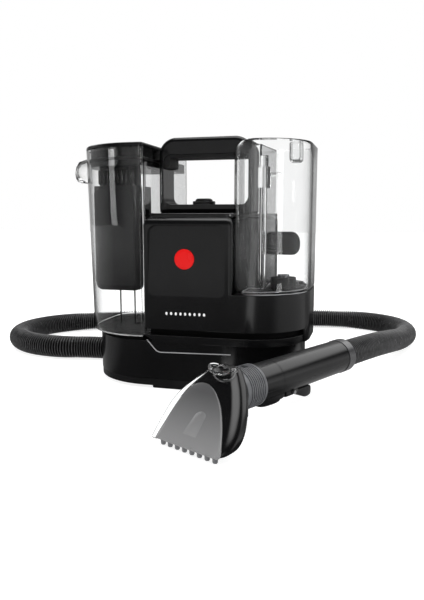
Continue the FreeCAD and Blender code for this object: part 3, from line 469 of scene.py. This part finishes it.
def make_hose():
    """Corrugated hose: rounded ribs with tight valleys between them, all along the spline."""
    line = hose_line()
    steps_per_rib = 8
    around = 32
    rings = []
    heights = []
    for number, (centre, direction) in enumerate(walk(line, RIB_PITCH / steps_per_rib)):
        side = direction.cross(Vector((0, 0, 1))).normalized()
        up = side.cross(direction).normalized()
        phase = (number % steps_per_rib) / steps_per_rib
        valley = abs(math.cos(math.pi * phase)) ** 2
        # Mask for the painted highlight: 1 on the rib crests, 0 in the valleys.
        heights.append((1.0 - valley) ** 4)
        radius = HOSE_RADIUS - RIB_DEPTH * valley
        rings.append([centre + (side * math.cos(angle) + up * math.sin(angle)) * radius
                      for angle in full_turn(around)])
    bm = bmesh.new()
    skin(bm, rings)
    hose = new_object("hose_tube", bm, LOOKS["hose_black"])
    # The painted highlight mask is stored on the hose mesh.
    crest_highlight = hose.data.attributes.new("crest_highlight", "FLOAT", "POINT")
    crest_highlight.data.foreach_set("value", [height for height in heights for _ in range(around)])
    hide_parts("hose")
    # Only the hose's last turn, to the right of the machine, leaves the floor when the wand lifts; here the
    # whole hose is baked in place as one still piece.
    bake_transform(hose)


make_hose()

# ---------------------------------------------------------------- clean tank

TANK_WALL = 0.0022


def edge_pull(distance, radius):
    """How far a rounded edge lies inside its side, at a distance from the end of that side."""
    if distance >= radius:
        return 0.0
    return radius - math.sqrt(max(0.0, radius ** 2 - (radius - distance) ** 2))


def clean_ring(z, inset):
    """Plan of the clean tank at a height. Its side by the fascia curves in at top and bottom."""
    low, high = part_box("clean_tank")
    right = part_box("rear_cover")[1][0] - inset
    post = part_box("handle_front")
    pull = max(edge_pull(z - low[2], 0.012), edge_pull(high[2] - z, 0.015))
    left = low[0] + inset + pull
    front, back = low[1] + inset, high[1] - inset
    step_x, step_y = post[1][0] + 0.007 + inset, post[0][1] - 0.001 - inset
    round_front = min(0.066 - inset, right - left - 0.0085)
    loop = rounded_loop([(left, front, 0.008 - inset), (right, front, round_front),
                         (right, back, 0.050 - inset), (step_x, back, 0.003),
                         (step_x, step_y, 0.0008), (left, step_y, 0.001)], 12)
    lip_grow = max(0.0, min(1.0, (z - high[2] + 0.022) / 0.022)) ** 1.6
    points = []
    for x, y in loop:
        lip = 0.0075 * lip_grow * math.exp(-((y + 0.010) / 0.012) ** 2) if x > right - 0.03 else 0.0
        points.append(Vector((x + lip, y, z)))
    return points


def levels(low, high, radius_low, radius_high, count=10):
    """Heights that are close together where the ends are rounded."""
    steps = [low + radius_low * (1 - math.cos(math.pi / 2 * k / 6)) for k in range(7)]
    middle = [low + radius_low + (high - radius_high - low - radius_low) * k / count for k in range(1, count)]
    top = [high - radius_high + radius_high * math.sin(math.pi / 2 * k / 8) for k in range(9)]
    return steps + middle + top


def make_clean_tank():
    """Clear jug with a real wall, a rolled rim, a rounded foot and a pouring lip."""
    low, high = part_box("clean_tank")
    bottom, top = low[2], high[2]
    foot = 0.0025
    outside = [clean_ring(bottom, 0.0025), clean_ring(bottom + 0.0008, 0.0008)]
    heights = levels(bottom + foot, top - 0.002, 0.010, 0.016)
    outside += [clean_ring(z, 0.0) for z in heights]
    rim = [clean_ring(top - 0.0005, 0.0004), clean_ring(top, 0.0011), clean_ring(top - 0.0005, 0.0018)]
    inside = [clean_ring(z, TANK_WALL) for z in reversed(heights)]
    floor = [clean_ring(bottom + TANK_WALL + 0.0008, TANK_WALL + 0.0008),
             clean_ring(bottom + TANK_WALL, TANK_WALL + 0.0025)]
    bm = bmesh.new()
    skin(bm, outside + rim + inside + floor)
    piece("clean_jug", bm, "clear_plastic", "clean_tank", ["clean_tank"], floor_height=bottom + 0.006)
    # Pale beads round the outer foot and the inside floor: painted highlights on the rims.
    bm = bmesh.new()
    bead(bm, clean_ring(bottom + 0.0006, 0.0022), 0.00055, closed=True)
    bead(bm, clean_ring(bottom + TANK_WALL + 0.0008, TANK_WALL + 0.0028), 0.00045, closed=True)
    piece("clean_jug_rim_highlights", bm, "painted_highlight", "clean_tank")


make_clean_tank()


def make_pocket():
    """Small clear pocket that hangs inside the jug's rim beside the pouring lip."""
    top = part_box("clean_tank")[1][2]

    def ring(z, inset):
        """Plan of the pocket at a height."""
        soft = 0.0030 - inset * 0.6
        loop = rounded_loop([(0.1105 + inset, -0.0585 + inset, soft),
                             (0.1215 - inset, -0.0560 + inset, soft),
                             (0.1245 - inset, -0.0400 - inset, soft),
                             (0.1105 + inset, -0.0400 - inset, soft)], 6)
        return [Vector((point.x, point.y, z)) for point in loop]

    low = top - 0.0215
    rings = [ring(low, 0.0030), ring(low + 0.0006, 0.0014), ring(low + 0.0022, 0.0003)]
    rings += [ring(low + 0.005, 0.0)]
    rings += [ring(top - 0.0015, 0.0), ring(top - 0.001, 0.0005), ring(top - 0.0015, 0.0010)]
    rings += [ring(low + 0.005, 0.0010), ring(low + 0.003, 0.0016), ring(low + 0.0018, 0.0034)]
    bm = bmesh.new()
    skin(bm, rings)
    piece("clean_jug_pocket", bm, "clear_plastic", "clean_tank")


make_pocket()

# ---------------------------------------------------------------- dirty tank


def dirty_ring(z, inset):
    """Plan of the dirty tank at a height: it leans out to the left towards its rim."""
    low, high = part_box("dirty_tank")
    seat_low, seat_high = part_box("dirty_tank_seat")
    lean = 0.005 * (z - low[2]) / (high[2] - low[2])
    left = seat_low[0] - 0.009 - lean + inset
    right = seat_high[0] - inset
    front, back = low[1] + inset, high[1] - inset
    loop = rounded_loop([(left, front, 0.074 - inset), (right, front, 0.006 - inset),
                         (right, back, 0.005 - inset), (left, back, 0.048 - inset)], 14)
    return [Vector((x, y, z)) for x, y in loop]


def make_dirty_tank():
    """Clear jug with a real wall, a flanged rim and a rounded foot; its hooked finger tab is made as a piece
    of its own.
    """
    low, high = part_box("dirty_tank")
    bottom, top = low[2], high[2]
    heights = levels(bottom + 0.003, top - 0.003, 0.004, 0.004, 8)
    outside = [dirty_ring(bottom, 0.004), dirty_ring(bottom + 0.001, 0.0014)]
    outside += [dirty_ring(z, 0.0) for z in heights]
    rim = [dirty_ring(top - 0.001, 0.0), dirty_ring(top - 0.0002, 0.0008), dirty_ring(top - 0.0002, 0.0017)]
    inside = [dirty_ring(z, TANK_WALL) for z in reversed(heights)]
    floor = [dirty_ring(bottom + TANK_WALL + 0.001, TANK_WALL + 0.0012),
             dirty_ring(bottom + TANK_WALL, TANK_WALL + 0.004)]
    bm = bmesh.new()
    skin(bm, outside + rim + inside + floor)
    piece("dirty_jug", bm, "clear_plastic", "dirty_tank", ["dirty_tank"], floor_height=bottom + 0.006)


make_dirty_tank()


def make_finger_tab():
    """Curved hook on the dirty tank's left side that a finger pulls against."""
    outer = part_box("dirty_tank")[0][0]
    wall_x = outer + 0.0165
    profile = [(wall_x, 0.2585), (outer + 0.006, 0.2555), (outer + 0.0018, 0.2495), (outer, 0.2425),
               (outer + 0.001, 0.2365), (outer + 0.0035, 0.232), (outer + 0.0055, 0.2312),
               (outer + 0.0042, 0.2375), (outer + 0.0032, 0.2430), (outer + 0.0045, 0.2485),
               (outer + 0.0082, 0.2520), (wall_x, 0.2545)]
    bm = bmesh.new()
    rings = [[Vector((x, y, z)) for x, z in profile] for y in (-0.0415, -0.0405, -0.0155, -0.0145)]
    for ring in (rings[0], rings[3]):
        middle = sum(ring, Vector()) / len(ring)
        for point in ring:
            point.x += (middle.x - point.x) * 0.12
            point.z += (middle.z - point.z) * 0.06
    skin(bm, rings)
    piece("dirty_jug_tab", bm, "clear_plastic", "dirty_tank")


make_finger_tab()


def make_neck_flutes():
    """Upright ribs round the front of the separator's neck."""
    low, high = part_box("separator")
    front = low[1] + 0.0055
    bm = bmesh.new()
    for number in range(8):
        x = low[0] + 0.0085 + number * 0.0056
        rings = []
        for share, size in ((0.0, 0.25), (0.04, 0.75), (0.1, 1.0), (0.9, 1.0), (0.96, 0.75), (1.0, 0.25)):
            z = high[2] - 0.0195 + 0.0165 * share
            rings.append([Vector((x + 0.0015 * size * math.cos(angle),
                                  front + 0.0018 * size * math.sin(angle), z)) for angle in full_turn(12)])
        skin(bm, rings)
    piece("separator_flutes", bm, "black_gloss", "lid")


make_neck_flutes()

# ---------------------------------------------------------------- separator legs


def rod(bm, start, end, radius, around=12):
    """A straight round bar."""
    start, end = Vector(start), Vector(end)
    bead(bm, [start.lerp(end, k / 4) for k in range(5)], radius, around)


def make_separator_legs():
    """Thin bars below the separator that guide the water away from its float."""
    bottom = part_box("separator")[0][2]
    bm = bmesh.new()
    for x, y in ((-0.0925, -0.040), (-0.074, -0.040), (-0.0662, -0.035)):
        rod(bm, (x, y, bottom + 0.004), (x, y, 0.0635), 0.0009)
    rod(bm, (-0.074, -0.040, 0.0637), (-0.0662, -0.035, 0.0637), 0.0012)
    piece("separator_legs", bm, "black_gloss", "lid")


make_separator_legs()

# ---------------------------------------------------------------- front: badge, pips, chin edge with its painted highlight


def make_badge():
    """Plain red disc with a crowned face."""
    low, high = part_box("badge")
    middle = (low + high) / 2
    radius = (high[0] - low[0]) / 2
    bm = bmesh.new()
    rings = []
    for size, y in ((1.0, high[1]), (1.0, low[1] + 0.0006), (0.965, low[1] + 0.0002), (0.90, low[1]),
                    (0.6, low[1] - 0.0003), (0.2, low[1] - 0.0004)):
        rings.append([Vector((middle[0] + radius * size * math.cos(angle), y,
                              middle[2] + radius * size * math.sin(angle))) for angle in full_turn(64)])
    skin(bm, rings)
    piece("badge_disc", bm, "red_gloss", "root", ["badge"])


def make_pips():
    """A row of plain white pips below the badge."""
    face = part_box("front_cover")[0][1] + 0.00005
    count = 9
    first_x, row_width, row_z = -0.0150, 0.0425, 0.0868
    half_width, half_height = 0.0013, 0.0017
    bm = bmesh.new()
    for number in range(count):
        x = first_x + row_width * number / (count - 1)
        rings = []
        for size, out in ((1.0, 0.0004), (1.0, -0.0001), (0.8, -0.00025), (0.3, -0.0003)):
            rings.append([Vector((x + half_width * size * math.cos(angle), face + out,
                                  row_z + half_height * size * math.sin(angle))) for angle in full_turn(20)])
        skin(bm, rings)
    piece("front_pips", bm, "white_print", "root")


def make_chin_highlight():
    """Polished pale bead that outlines the chin, where the covers meet the base: its pale colour is a painted
    highlight along the edge.
    """
    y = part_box("lower_housing")[0][1] - 0.0002
    outer = Vector((-0.0392, y - 0.0015, 0.0562))
    turn = Vector((-0.0275, y, 0.0420))
    inner = Vector((0.056, y, 0.0440))
    path = [outer.lerp(turn, k / 8) for k in range(6)]
    for k in range(1, 7):
        share = k / 6
        before = turn.lerp(outer, 0.25 * (1 - share))
        after = turn.lerp(inner, 0.06 * share)
        path.append(before.lerp(after, share))
    path += [turn.lerp(inner, 0.08 + 0.92 * k / 20) for k in range(21)]
    bm = bmesh.new()
    bead(bm, path, 0.0006)
    # Painted highlight: a pale bead along the chin's edge.
    piece("chin_highlight", bm, "painted_highlight", "root")


make_badge()
make_pips()
make_chin_highlight()

# ---------------------------------------------------------------- hand tool

WAND_AXIS = 0.037
WAND_TAIL = Vector((0.170, -0.030, WAND_AXIS))
WAND_TURN = math.radians(-117.4)
FACE_TOP = (0.208, 0.017)


def in_wand(along, across, up):
    """A point given along the wand, across it and above its axis."""
    forward = Vector((math.cos(WAND_TURN), math.sin(WAND_TURN), 0.0))
    sideways = Vector((-math.sin(WAND_TURN), math.cos(WAND_TURN), 0.0))
    return WAND_TAIL + forward * along + sideways * across + Vector((0.0, 0.0, up))


def on_tool_face(side, down, out):
    """A point on the tool's face, in millimetres: to its left, down it, and out of it."""
    slope = math.sqrt(0.5) / 1000
    return in_wand(FACE_TOP[0] + slope * (down + out), -side / 1000, FACE_TOP[1] + slope * (out - down))


def smooth_rows(rows, steps):
    """Rows between the given ones, on a smooth curve through them."""
    result = []
    last = len(rows) - 1
    for number in range(last):
        p0, p1 = rows[max(0, number - 1)], rows[number]
        p2, p3 = rows[number + 1], rows[min(last, number + 2)]
        for step in range(steps):
            t = step / steps
            result.append(tuple(
                0.5 * (2 * b + (c - a) * t + (2 * a - 5 * b + 4 * c - d) * t ** 2
                       + (3 * b - a - 3 * c + d) * t ** 3)
                for a, b, c, d in zip(p0, p1, p2, p3)))
    result.append(tuple(rows[-1]))
    return result


# Down the face, its left edge, its right edge, and how far the body reaches back, in millimetres.
TOOL_ROWS = ((-11.5, 3.5, -4.5, 4), (-10.5, 7, -8, 7), (-7.5, 11, -12.5, 11), (-2, 14.5, -16.5, 15.5),
             (3.5, 18, -20.5, 17.5), (10, 21.5, -25.5, 18.5), (17.6, 25, -30.5, 19.5), (26, 27.4, -35.5, 20),
             (35.5, 28.4, -40.2, 20.5), (48, 28.6, -45, 21), (57, 28.6, -47, 21), (64, 28.8, -46.5, 20.5),
             (69.2, 28.8, -43, 18))


def make_tool_shell():
    """Black head of the tool: a crowned fan that flows out of a round neck."""
    bm = bmesh.new()
    rings = []
    for down, left, right, back in smooth_rows(TOOL_ROWS, 4):
        up = FACE_TOP[1] - math.sqrt(0.5) * down / 1000
        front = FACE_TOP[0] + math.sqrt(0.5) * down / 1000 - 0.0012
        rear = front - back / 1000
        width = (left - right) / 1000
        soft = min(0.0085, width * 0.45, back * 0.00042)
        plan = rounded_loop([(rear, -left / 1000, soft * 0.6), (front, -left / 1000, min(0.002, soft)),
                             (front, -right / 1000, soft), (rear, -right / 1000, soft)], 8)
        rings.append([in_wand(point.x, point.y, up) for point in plan])
    skin(bm, rings)
    neck = [(0.1742, 0.0105), (0.1742, 0.0130), (0.204, 0.0130), (0.204, 0.0105)]
    neck_rings = [[in_wand(along, size * math.cos(angle), size * math.sin(angle)) for angle in full_turn(48)]
                  for along, size in neck + neck[:1]]
    skin(bm, neck_rings, close_ends=False)
    bmesh.ops.remove_doubles(bm, verts=bm.verts, dist=0.000001)
    piece("tool_shell", bm, "black_gloss", "tool", ["tool_body"])


# To the left and down the face, in millimetres.
WINDOW_OUTLINE = ((28.8, 69.0), (28.7, 57), (28.5, 45), (27.7, 33), (25.8, 22), (22.5, 15), (17.5, 10.6),
                  (11, 8.8), (4, 9.8), (-3.5, 13.2), (-10.5, 18.4), (-17.5, 25.0), (-24.0, 33.0),
                  (-29.8, 41.5), (-35.2, 50.5), (-39.8, 59.0), (-42.2, 64.5), (-42.3, 67.6), (-40.0, 69.0))


def make_tool_window():
    """Smoked window with a rounded top, set in the black head."""
    outline = smooth_rows(WINDOW_OUTLINE, 3)
    middle = Vector((-4.0, 45.0))
    bm = bmesh.new()
    rings = []
    for inset, out in ((0.0, -1.6), (0.0, 0.0), (0.5, 0.35), (1.3, 0.45), (8.0, 0.9)):
        ring = []
        for side, down in outline:
            away = Vector((side, down)) - middle
            shrink = 1 - inset / away.length
            ring.append(on_tool_face(middle.x + away.x * shrink, middle.y + away.y * shrink, out))
        rings.append(ring)
    skin(bm, rings)
    piece("tool_smoked_window", bm, "smoke_clear", "tool", ["tool_window"])


def raised_plate(bm, outline, base, height):
    """A thin plate on the tool's face with a softened edge."""
    centre = Vector((sum(p[0] for p in outline), sum(p[1] for p in outline))) / len(outline)
    rings = []
    for inset, out in ((0.0, base), (0.0, base + height * 0.7), (0.4, base + height)):
        ring = []
        for side, down in outline:
            away = Vector((side, down)) - centre
            shrink = 1 - inset / away.length
            ring.append(on_tool_face(centre.x + away.x * shrink, centre.y + away.y * shrink, out))
        rings.append(ring)
    skin(bm, rings)


def make_window_details():
    """Tongue and band inside the window, where the suction channel widens to the mouth."""
    bm = bmesh.new()
    tongue = [(-5.0 + 6.2 * math.cos(math.pi * k / 12), 40.5 - 5.5 * math.sin(math.pi * k / 12))
              for k in range(13)]
    tongue += [(-12.4, 58.5), (3.2, 58.5)]
    raised_plate(bm, tongue, 0.5, 0.5)
    piece("tool_window_tongue", bm, "smoke_pale", "tool")
    bm = bmesh.new()
    strip = [(27.9, 54.5), (27.9, 67.8), (-39.5, 67.8), (-40.5, 63.0), (-36.0, 54.5)]
    dense = []
    for first, second in zip(strip, strip[1:] + strip[:1]):
        dense += [(first[0] + (second[0] - first[0]) * k / 8, first[1] + (second[1] - first[1]) * k / 8)
                  for k in range(8)]
    raised_plate(bm, dense, 0.1, 0.45)
    piece("tool_window_band", bm, "smoke_pale", "tool")


# Down the face, its inner edge and its outer edge, in millimetres.
RIM_ROWS = ((-7.5, 11.5, 12.8), (-2, 14.6, 16.6), (6.5, 19.6, 23.0), (14, 23.4, 27.9), (21.6, 26.2, 31.8),
            (32.6, 28.2, 34.7), (44, 28.7, 35.1), (57, 28.8, 34.6), (69.2, 28.9, 33.8))


def make_tool_rim():
    """Clear cover that stands out past the left side of the head, down to the mouth."""
    bm = bmesh.new()
    rings = []
    for down, inner, outer in smooth_rows(RIM_ROWS, 4):
        corners = ((inner, -2.6), (inner, 0.2), (outer - 0.5, 0.3), (outer, -0.2), (outer, -2.0),
                   (outer - 0.5, -2.6))
        rings.append([on_tool_face(side, down, out) for side, out in corners])
    skin(bm, rings)
    piece("tool_clear_rim", bm, "clear_plastic", "tool", sharp=60)


def make_latch():
    """Clear latch ring that hooks the tool over the collar, with its thumb pad in the middle."""
    bm = bmesh.new()
    path = []
    for angle in full_turn(44):
        path.append(in_wand(0.2020 + 0.0095 * math.sin(angle), 0.0138 * math.cos(angle),
                            0.0225 + 0.0018 * math.cos(angle * 2)))
    bead(bm, path, 0.0015, closed=True)
    rings = []
    for size, up in ((1.0, 0.0200), (1.0, 0.0226), (0.86, 0.0246), (0.55, 0.0262), (0.15, 0.0268)):
        rings.append([in_wand(0.2025 + 0.0062 * size * math.sin(angle),
                              0.0088 * size * math.cos(angle), up) for angle in full_turn(28)])
    skin(bm, rings)
    piece("tool_latch", bm, "clear_plastic", "tool")


def make_teeth():
    """Row of soft rounded teeth under the front edge of the mouth."""
    count = 8
    row_start, row_width = 21.0, 59.0
    bm = bmesh.new()
    for number in range(count):
        side = row_start - row_width * number / (count - 1)
        rings = []
        for size, height in ((0.35, 0.0004), (0.8, 0.0007), (1.0, 0.0016), (1.0, 0.0060), (0.9, 0.0064)):
            rings.append([in_wand(0.2545 + 0.0021 * size * math.sin(angle),
                                  -side / 1000 + 0.0024 * size * math.cos(angle),
                                  height - WAND_AXIS) for angle in full_turn(18)])
        skin(bm, rings)
    rod(bm, in_wand(0.2535, -0.0230, 0.0066 - WAND_AXIS), in_wand(0.2535, 0.0400, 0.0066 - WAND_AXIS), 0.0014)
    piece("brush_teeth", bm, SLOTS["brush_strip"], "tool", ["brush_strip"])


BARREL_OUTER = 0.0179
BARREL_INNER = 0.0155


def half_pipe(bm, start, end, first_angle, last_angle):
    """Part of the barrel's wall between two places along it and two angles round it."""
    count = 24
    angles = [first_angle + (last_angle - first_angle) * k / count for k in range(count + 1)]
    profile = [(BARREL_OUTER, angle) for angle in angles]
    profile += [(BARREL_INNER, angle) for angle in reversed(angles)]
    rings = [[in_wand(along, radius * math.cos(angle), radius * math.sin(angle)) for radius, angle in profile]
             for along in (start, (start + end) / 2, end)]
    skin(bm, rings)


def housing_part(bm, rows, inner):
    """A rounded rail under the barrel. Rows are its place, its outer side and its depth."""
    rings = []
    for along, side, deep in smooth_rows(rows, 4):
        soft = min(0.0030, abs(side - inner) * 0.4)
        corners = [(inner, -deep, soft * 0.4), (side, -deep, soft), (side, -0.012, 0.0004),
                   (inner, -0.012, 0.0004)]
        if side < inner:
            corners.reverse()
        plan = rounded_loop(corners, 6)
        rings.append([in_wand(along, point.x, point.y) for point in plan])
    skin(bm, rings)


def make_lower_shell():
    """Lower half of the barrel, slotted for the trigger, with a rounded housing for the valve."""
    seam = math.asin(0.0052 / BARREL_OUTER)
    slot = math.asin(0.0061 / BARREL_OUTER)
    left, right, down = math.pi + seam, 2 * math.pi - seam, 1.5 * math.pi
    bm = bmesh.new()
    half_pipe(bm, 0.0131, 0.064, left, right)
    half_pipe(bm, 0.064, 0.1145, left, down - slot)
    half_pipe(bm, 0.064, 0.1145, down + slot, right)
    half_pipe(bm, 0.1145, 0.134, left, right)
    half_pipe(bm, 0.1341, 0.1625, left, right)
    for side in (-1, 1):
        cheek = [(along, side * half, deep) for along, half, deep in
                 ((0.0975, 0.0072, 0.0180), (0.0990, 0.0086, 0.0192), (0.1020, 0.0096, 0.0198),
                  (0.1100, 0.0100, 0.0200), (0.1200, 0.0100, 0.0200))]
        housing_part(bm, cheek, side * 0.0061)
    block = ((0.1180, 0.0080, 0.0196), (0.1240, 0.0100, 0.0202), (0.1290, 0.0102, 0.0208),
             (0.1320, 0.0103, 0.0222), (0.1400, 0.0103, 0.0227), (0.1520, 0.0098, 0.0223),
             (0.1580, 0.0090, 0.0213), (0.1612, 0.0078, 0.0200), (0.1625, 0.0060, 0.0190))
    housing_part(bm, block, -0.0001)
    housing_part(bm, [(along, -side, deep) for along, side, deep in block], 0.0001)
    piece("wand_underside", bm, "black_gloss", "wand", ["wand_lower_shell"])


def make_trigger():
    """Hooked spray trigger: a smooth blade with a deep finger end."""
    outline = ((0.1130, -0.0150), (0.1050, -0.0153), (0.0980, -0.0168), (0.0900, -0.0184), (0.0800, -0.0187),
               (0.0720, -0.0187), (0.0690, -0.0200), (0.0686, -0.0255), (0.0705, -0.0288), (0.0780, -0.0297),
               (0.0850, -0.0276), (0.0920, -0.0243), (0.1030, -0.0205), (0.1120, -0.0195), (0.1145, -0.0172))
    dense = []
    count = len(outline)
    for k in range(count):
        quad = (outline[k - 1], outline[k], outline[(k + 1) % count], outline[(k + 2) % count])
        dense += smooth_rows(quad, 4)[4:8]
    middle = Vector((0.090, -0.0225))
    bm = bmesh.new()
    rings = []
    for across, inset in ((-0.0050, 0.0012), (-0.0047, 0.0004), (-0.0040, 0.0),
                          (0.0040, 0.0), (0.0047, 0.0004), (0.0050, 0.0012)):
        ring = []
        for along, up in dense:
            away = Vector((along, up)) - middle
            shrink = 1 - inset / away.length
            ring.append(in_wand(middle.x + away.x * shrink, across, middle.y + away.y * shrink))
        rings.append(ring)
    skin(bm, rings)
    piece("trigger_hook", bm, "black_gloss", "trigger", ["trigger"])


make_trigger()
make_lower_shell()
make_tool_shell()
make_tool_window()
make_window_details()
make_tool_rim()
make_latch()
make_teeth()

# ---------------------------------------------------------------- stage


def make_world():
    """White studio. Gloss sees soft boxes at both sides and overhead, with darker walls between them."""
    world = bpy.data.worlds.new("studio")
    world.use_nodes = True
    tree = world.node_tree
    place = add_node(tree, "ShaderNodeTexCoord")
    parts = add_node(tree, "ShaderNodeSeparateXYZ")
    tree.links.new(place.outputs["Generated"], parts.inputs["Vector"])
    sides = plus(tree, band(tree, parts.outputs["X"], 0.80, 0.98, 0.0, 0.9),
                 band(tree, parts.outputs["X"], -0.85, -0.98, 0.0, 0.3))
    backdrop = times(tree, band(tree, parts.outputs["Y"], 0.30, 0.80, 0.0, 0.45),
                     band(tree, parts.outputs["Z"], 0.05, 0.35, 1.0, 0.0))
    above = band(tree, parts.outputs["Z"], 0.86, 0.985, 0.04, 3.2)
    glow = band(tree, parts.outputs["Z"], 0.02, 0.45, 0.45, 0.0)
    rim_low = band(tree, parts.outputs["Z"], 0.30, 0.50, 0.0, 1.0)
    rim_high = band(tree, parts.outputs["Z"], 0.66, 0.84, 1.7, 0.0)
    behind = band(tree, parts.outputs["Y"], 0.15, 0.40, 0.0, 1.0)
    rim = times(tree, times(tree, rim_low, rim_high), behind)
    front = band(tree, parts.outputs["Y"], -0.75, -0.95, 0.0, 1.0)
    strip_left = band(tree, parts.outputs["X"], 0.02, 0.07, 0.0, 1.0)
    strip_right = band(tree, parts.outputs["X"], 0.20, 0.26, 1.1, 0.0)
    strip = times(tree, strip_left, strip_right)
    lit = plus(tree, glow, strip)
    everything = plus(tree, plus(tree, sides, above), plus(tree, rim, times(tree, front, lit)))
    everything = plus(tree, everything, backdrop)
    path = add_node(tree, "ShaderNodeLightPath")
    seen = plus(tree, path.outputs["Is Camera Ray"], path.outputs["Is Transmission Ray"])
    unmirrored = add_node(tree, "ShaderNodeMath", operation="LESS_THAN")
    unmirrored.inputs[1].default_value = 0.5
    tree.links.new(path.outputs["Glossy Depth"], unmirrored.inputs[0])
    strength = add_node(tree, "ShaderNodeMix", {"B": 1.0}, data_type="FLOAT")
    tree.links.new(times(tree, seen, unmirrored.outputs[0]), strength.inputs["Factor"])
    tree.links.new(everything, strength.inputs["A"])
    tree.links.new(strength.outputs["Result"], tree.nodes["Background"].inputs["Strength"])
    tree.nodes["Background"].inputs["Color"].default_value = (1.0, 1.0, 1.0, 1.0)
    bpy.context.scene.world = world


FLOOR_GLOW = 0.84
FLOOR_DROP = 0.0004


def make_floor():
    """Pale floor. Gloss sees it fade in away from the object, with paler bands to the sides."""
    bm = bmesh.new()
    bmesh.ops.create_grid(bm, x_segments=1, y_segments=1, size=6.0)
    material, tree, shader = new_material("stage_white")
    base = mix_colours(tree, noise(tree, 3.0), (0.42, 0.42, 0.42), (0.44, 0.44, 0.44))
    tree.links.new(base, shader.inputs["Base Color"])
    shader.inputs["Roughness"].default_value = 0.9
    shader.inputs["Specular IOR Level"].default_value = 0.1
    shader.inputs["Emission Color"].default_value = (1.0, 1.0, 1.0, 1.0)
    shader.inputs["Emission Strength"].default_value = FLOOR_GLOW
    place = add_node(tree, "ShaderNodeTexCoord")
    far = add_node(tree, "ShaderNodeVectorMath", operation="LENGTH")
    tree.links.new(place.outputs["Object"], far.inputs[0])
    mirrored = add_node(tree, "ShaderNodeEmission")
    fade = remap(tree, far.outputs["Value"], 0.06, 0.45, 0.2, 2.6)
    heading = add_node(tree, "ShaderNodeVectorMath", operation="NORMALIZE")
    tree.links.new(place.outputs["Object"], heading.inputs[0])
    parts = add_node(tree, "ShaderNodeSeparateXYZ")
    tree.links.new(heading.outputs["Vector"], parts.inputs["Vector"])
    strip = times(tree, band(tree, parts.outputs["X"], 0.06, 0.12, 0.0, 1.0),
                  band(tree, parts.outputs["X"], 0.26, 0.34, 1.3, 0.0))
    strip = times(tree, strip, band(tree, parts.outputs["Y"], -0.85, -0.95, 0.0, 1.0))
    sides = plus(tree, band(tree, parts.outputs["X"], 0.72, 0.92, 0.0, 0.35),
                 band(tree, parts.outputs["X"], -0.80, -0.95, 0.0, 0.2))
    tree.links.new(plus(tree, fade, plus(tree, strip, sides)), mirrored.inputs["Strength"])
    path = add_node(tree, "ShaderNodeLightPath")
    through = add_node(tree, "ShaderNodeMath", operation="GREATER_THAN")
    through.inputs[1].default_value = 0.5
    tree.links.new(path.outputs["Glossy Depth"], through.inputs[0])
    choice = add_node(tree, "ShaderNodeMixShader")
    tree.links.new(through.outputs[0], choice.inputs["Fac"])
    tree.links.new(shader.outputs["BSDF"], choice.inputs[1])
    tree.links.new(mirrored.outputs["Emission"], choice.inputs[2])
    tree.links.new(choice.outputs["Shader"], tree.nodes["Material Output"].inputs["Surface"])
    floor = new_object("floor", bm, material, smooth=False)
    floor.location.z = -FLOOR_DROP


def area_light(name, place, target, size, power):
    """Soft box that lights the object and never shows in gloss."""
    data = bpy.data.lights.new(name, "AREA")
    data.shape = "RECTANGLE"
    data.size, data.size_y = size
    data.energy = power
    lamp = bpy.data.objects.new(name, data)
    lamp.visible_glossy = False
    lamp.location = place
    lamp.rotation_euler = (Vector(target) - Vector(place)).to_track_quat("-Z", "Y").to_euler()
    bpy.context.scene.collection.objects.link(lamp)


make_world()
make_floor()
area_light("overhead", (0.0, 0.1, 1.6), (0.0, 0.1, 0.0), (2.4, 1.4), 22.0)
area_light("left_box", (-1.2, -0.9, 0.7), (0.0, 0.0, 0.12), (0.35, 1.2), 9.0)
area_light("right_box", (1.3, -0.7, 0.6), (0.0, 0.0, 0.12), (0.3, 1.2), 9.0)
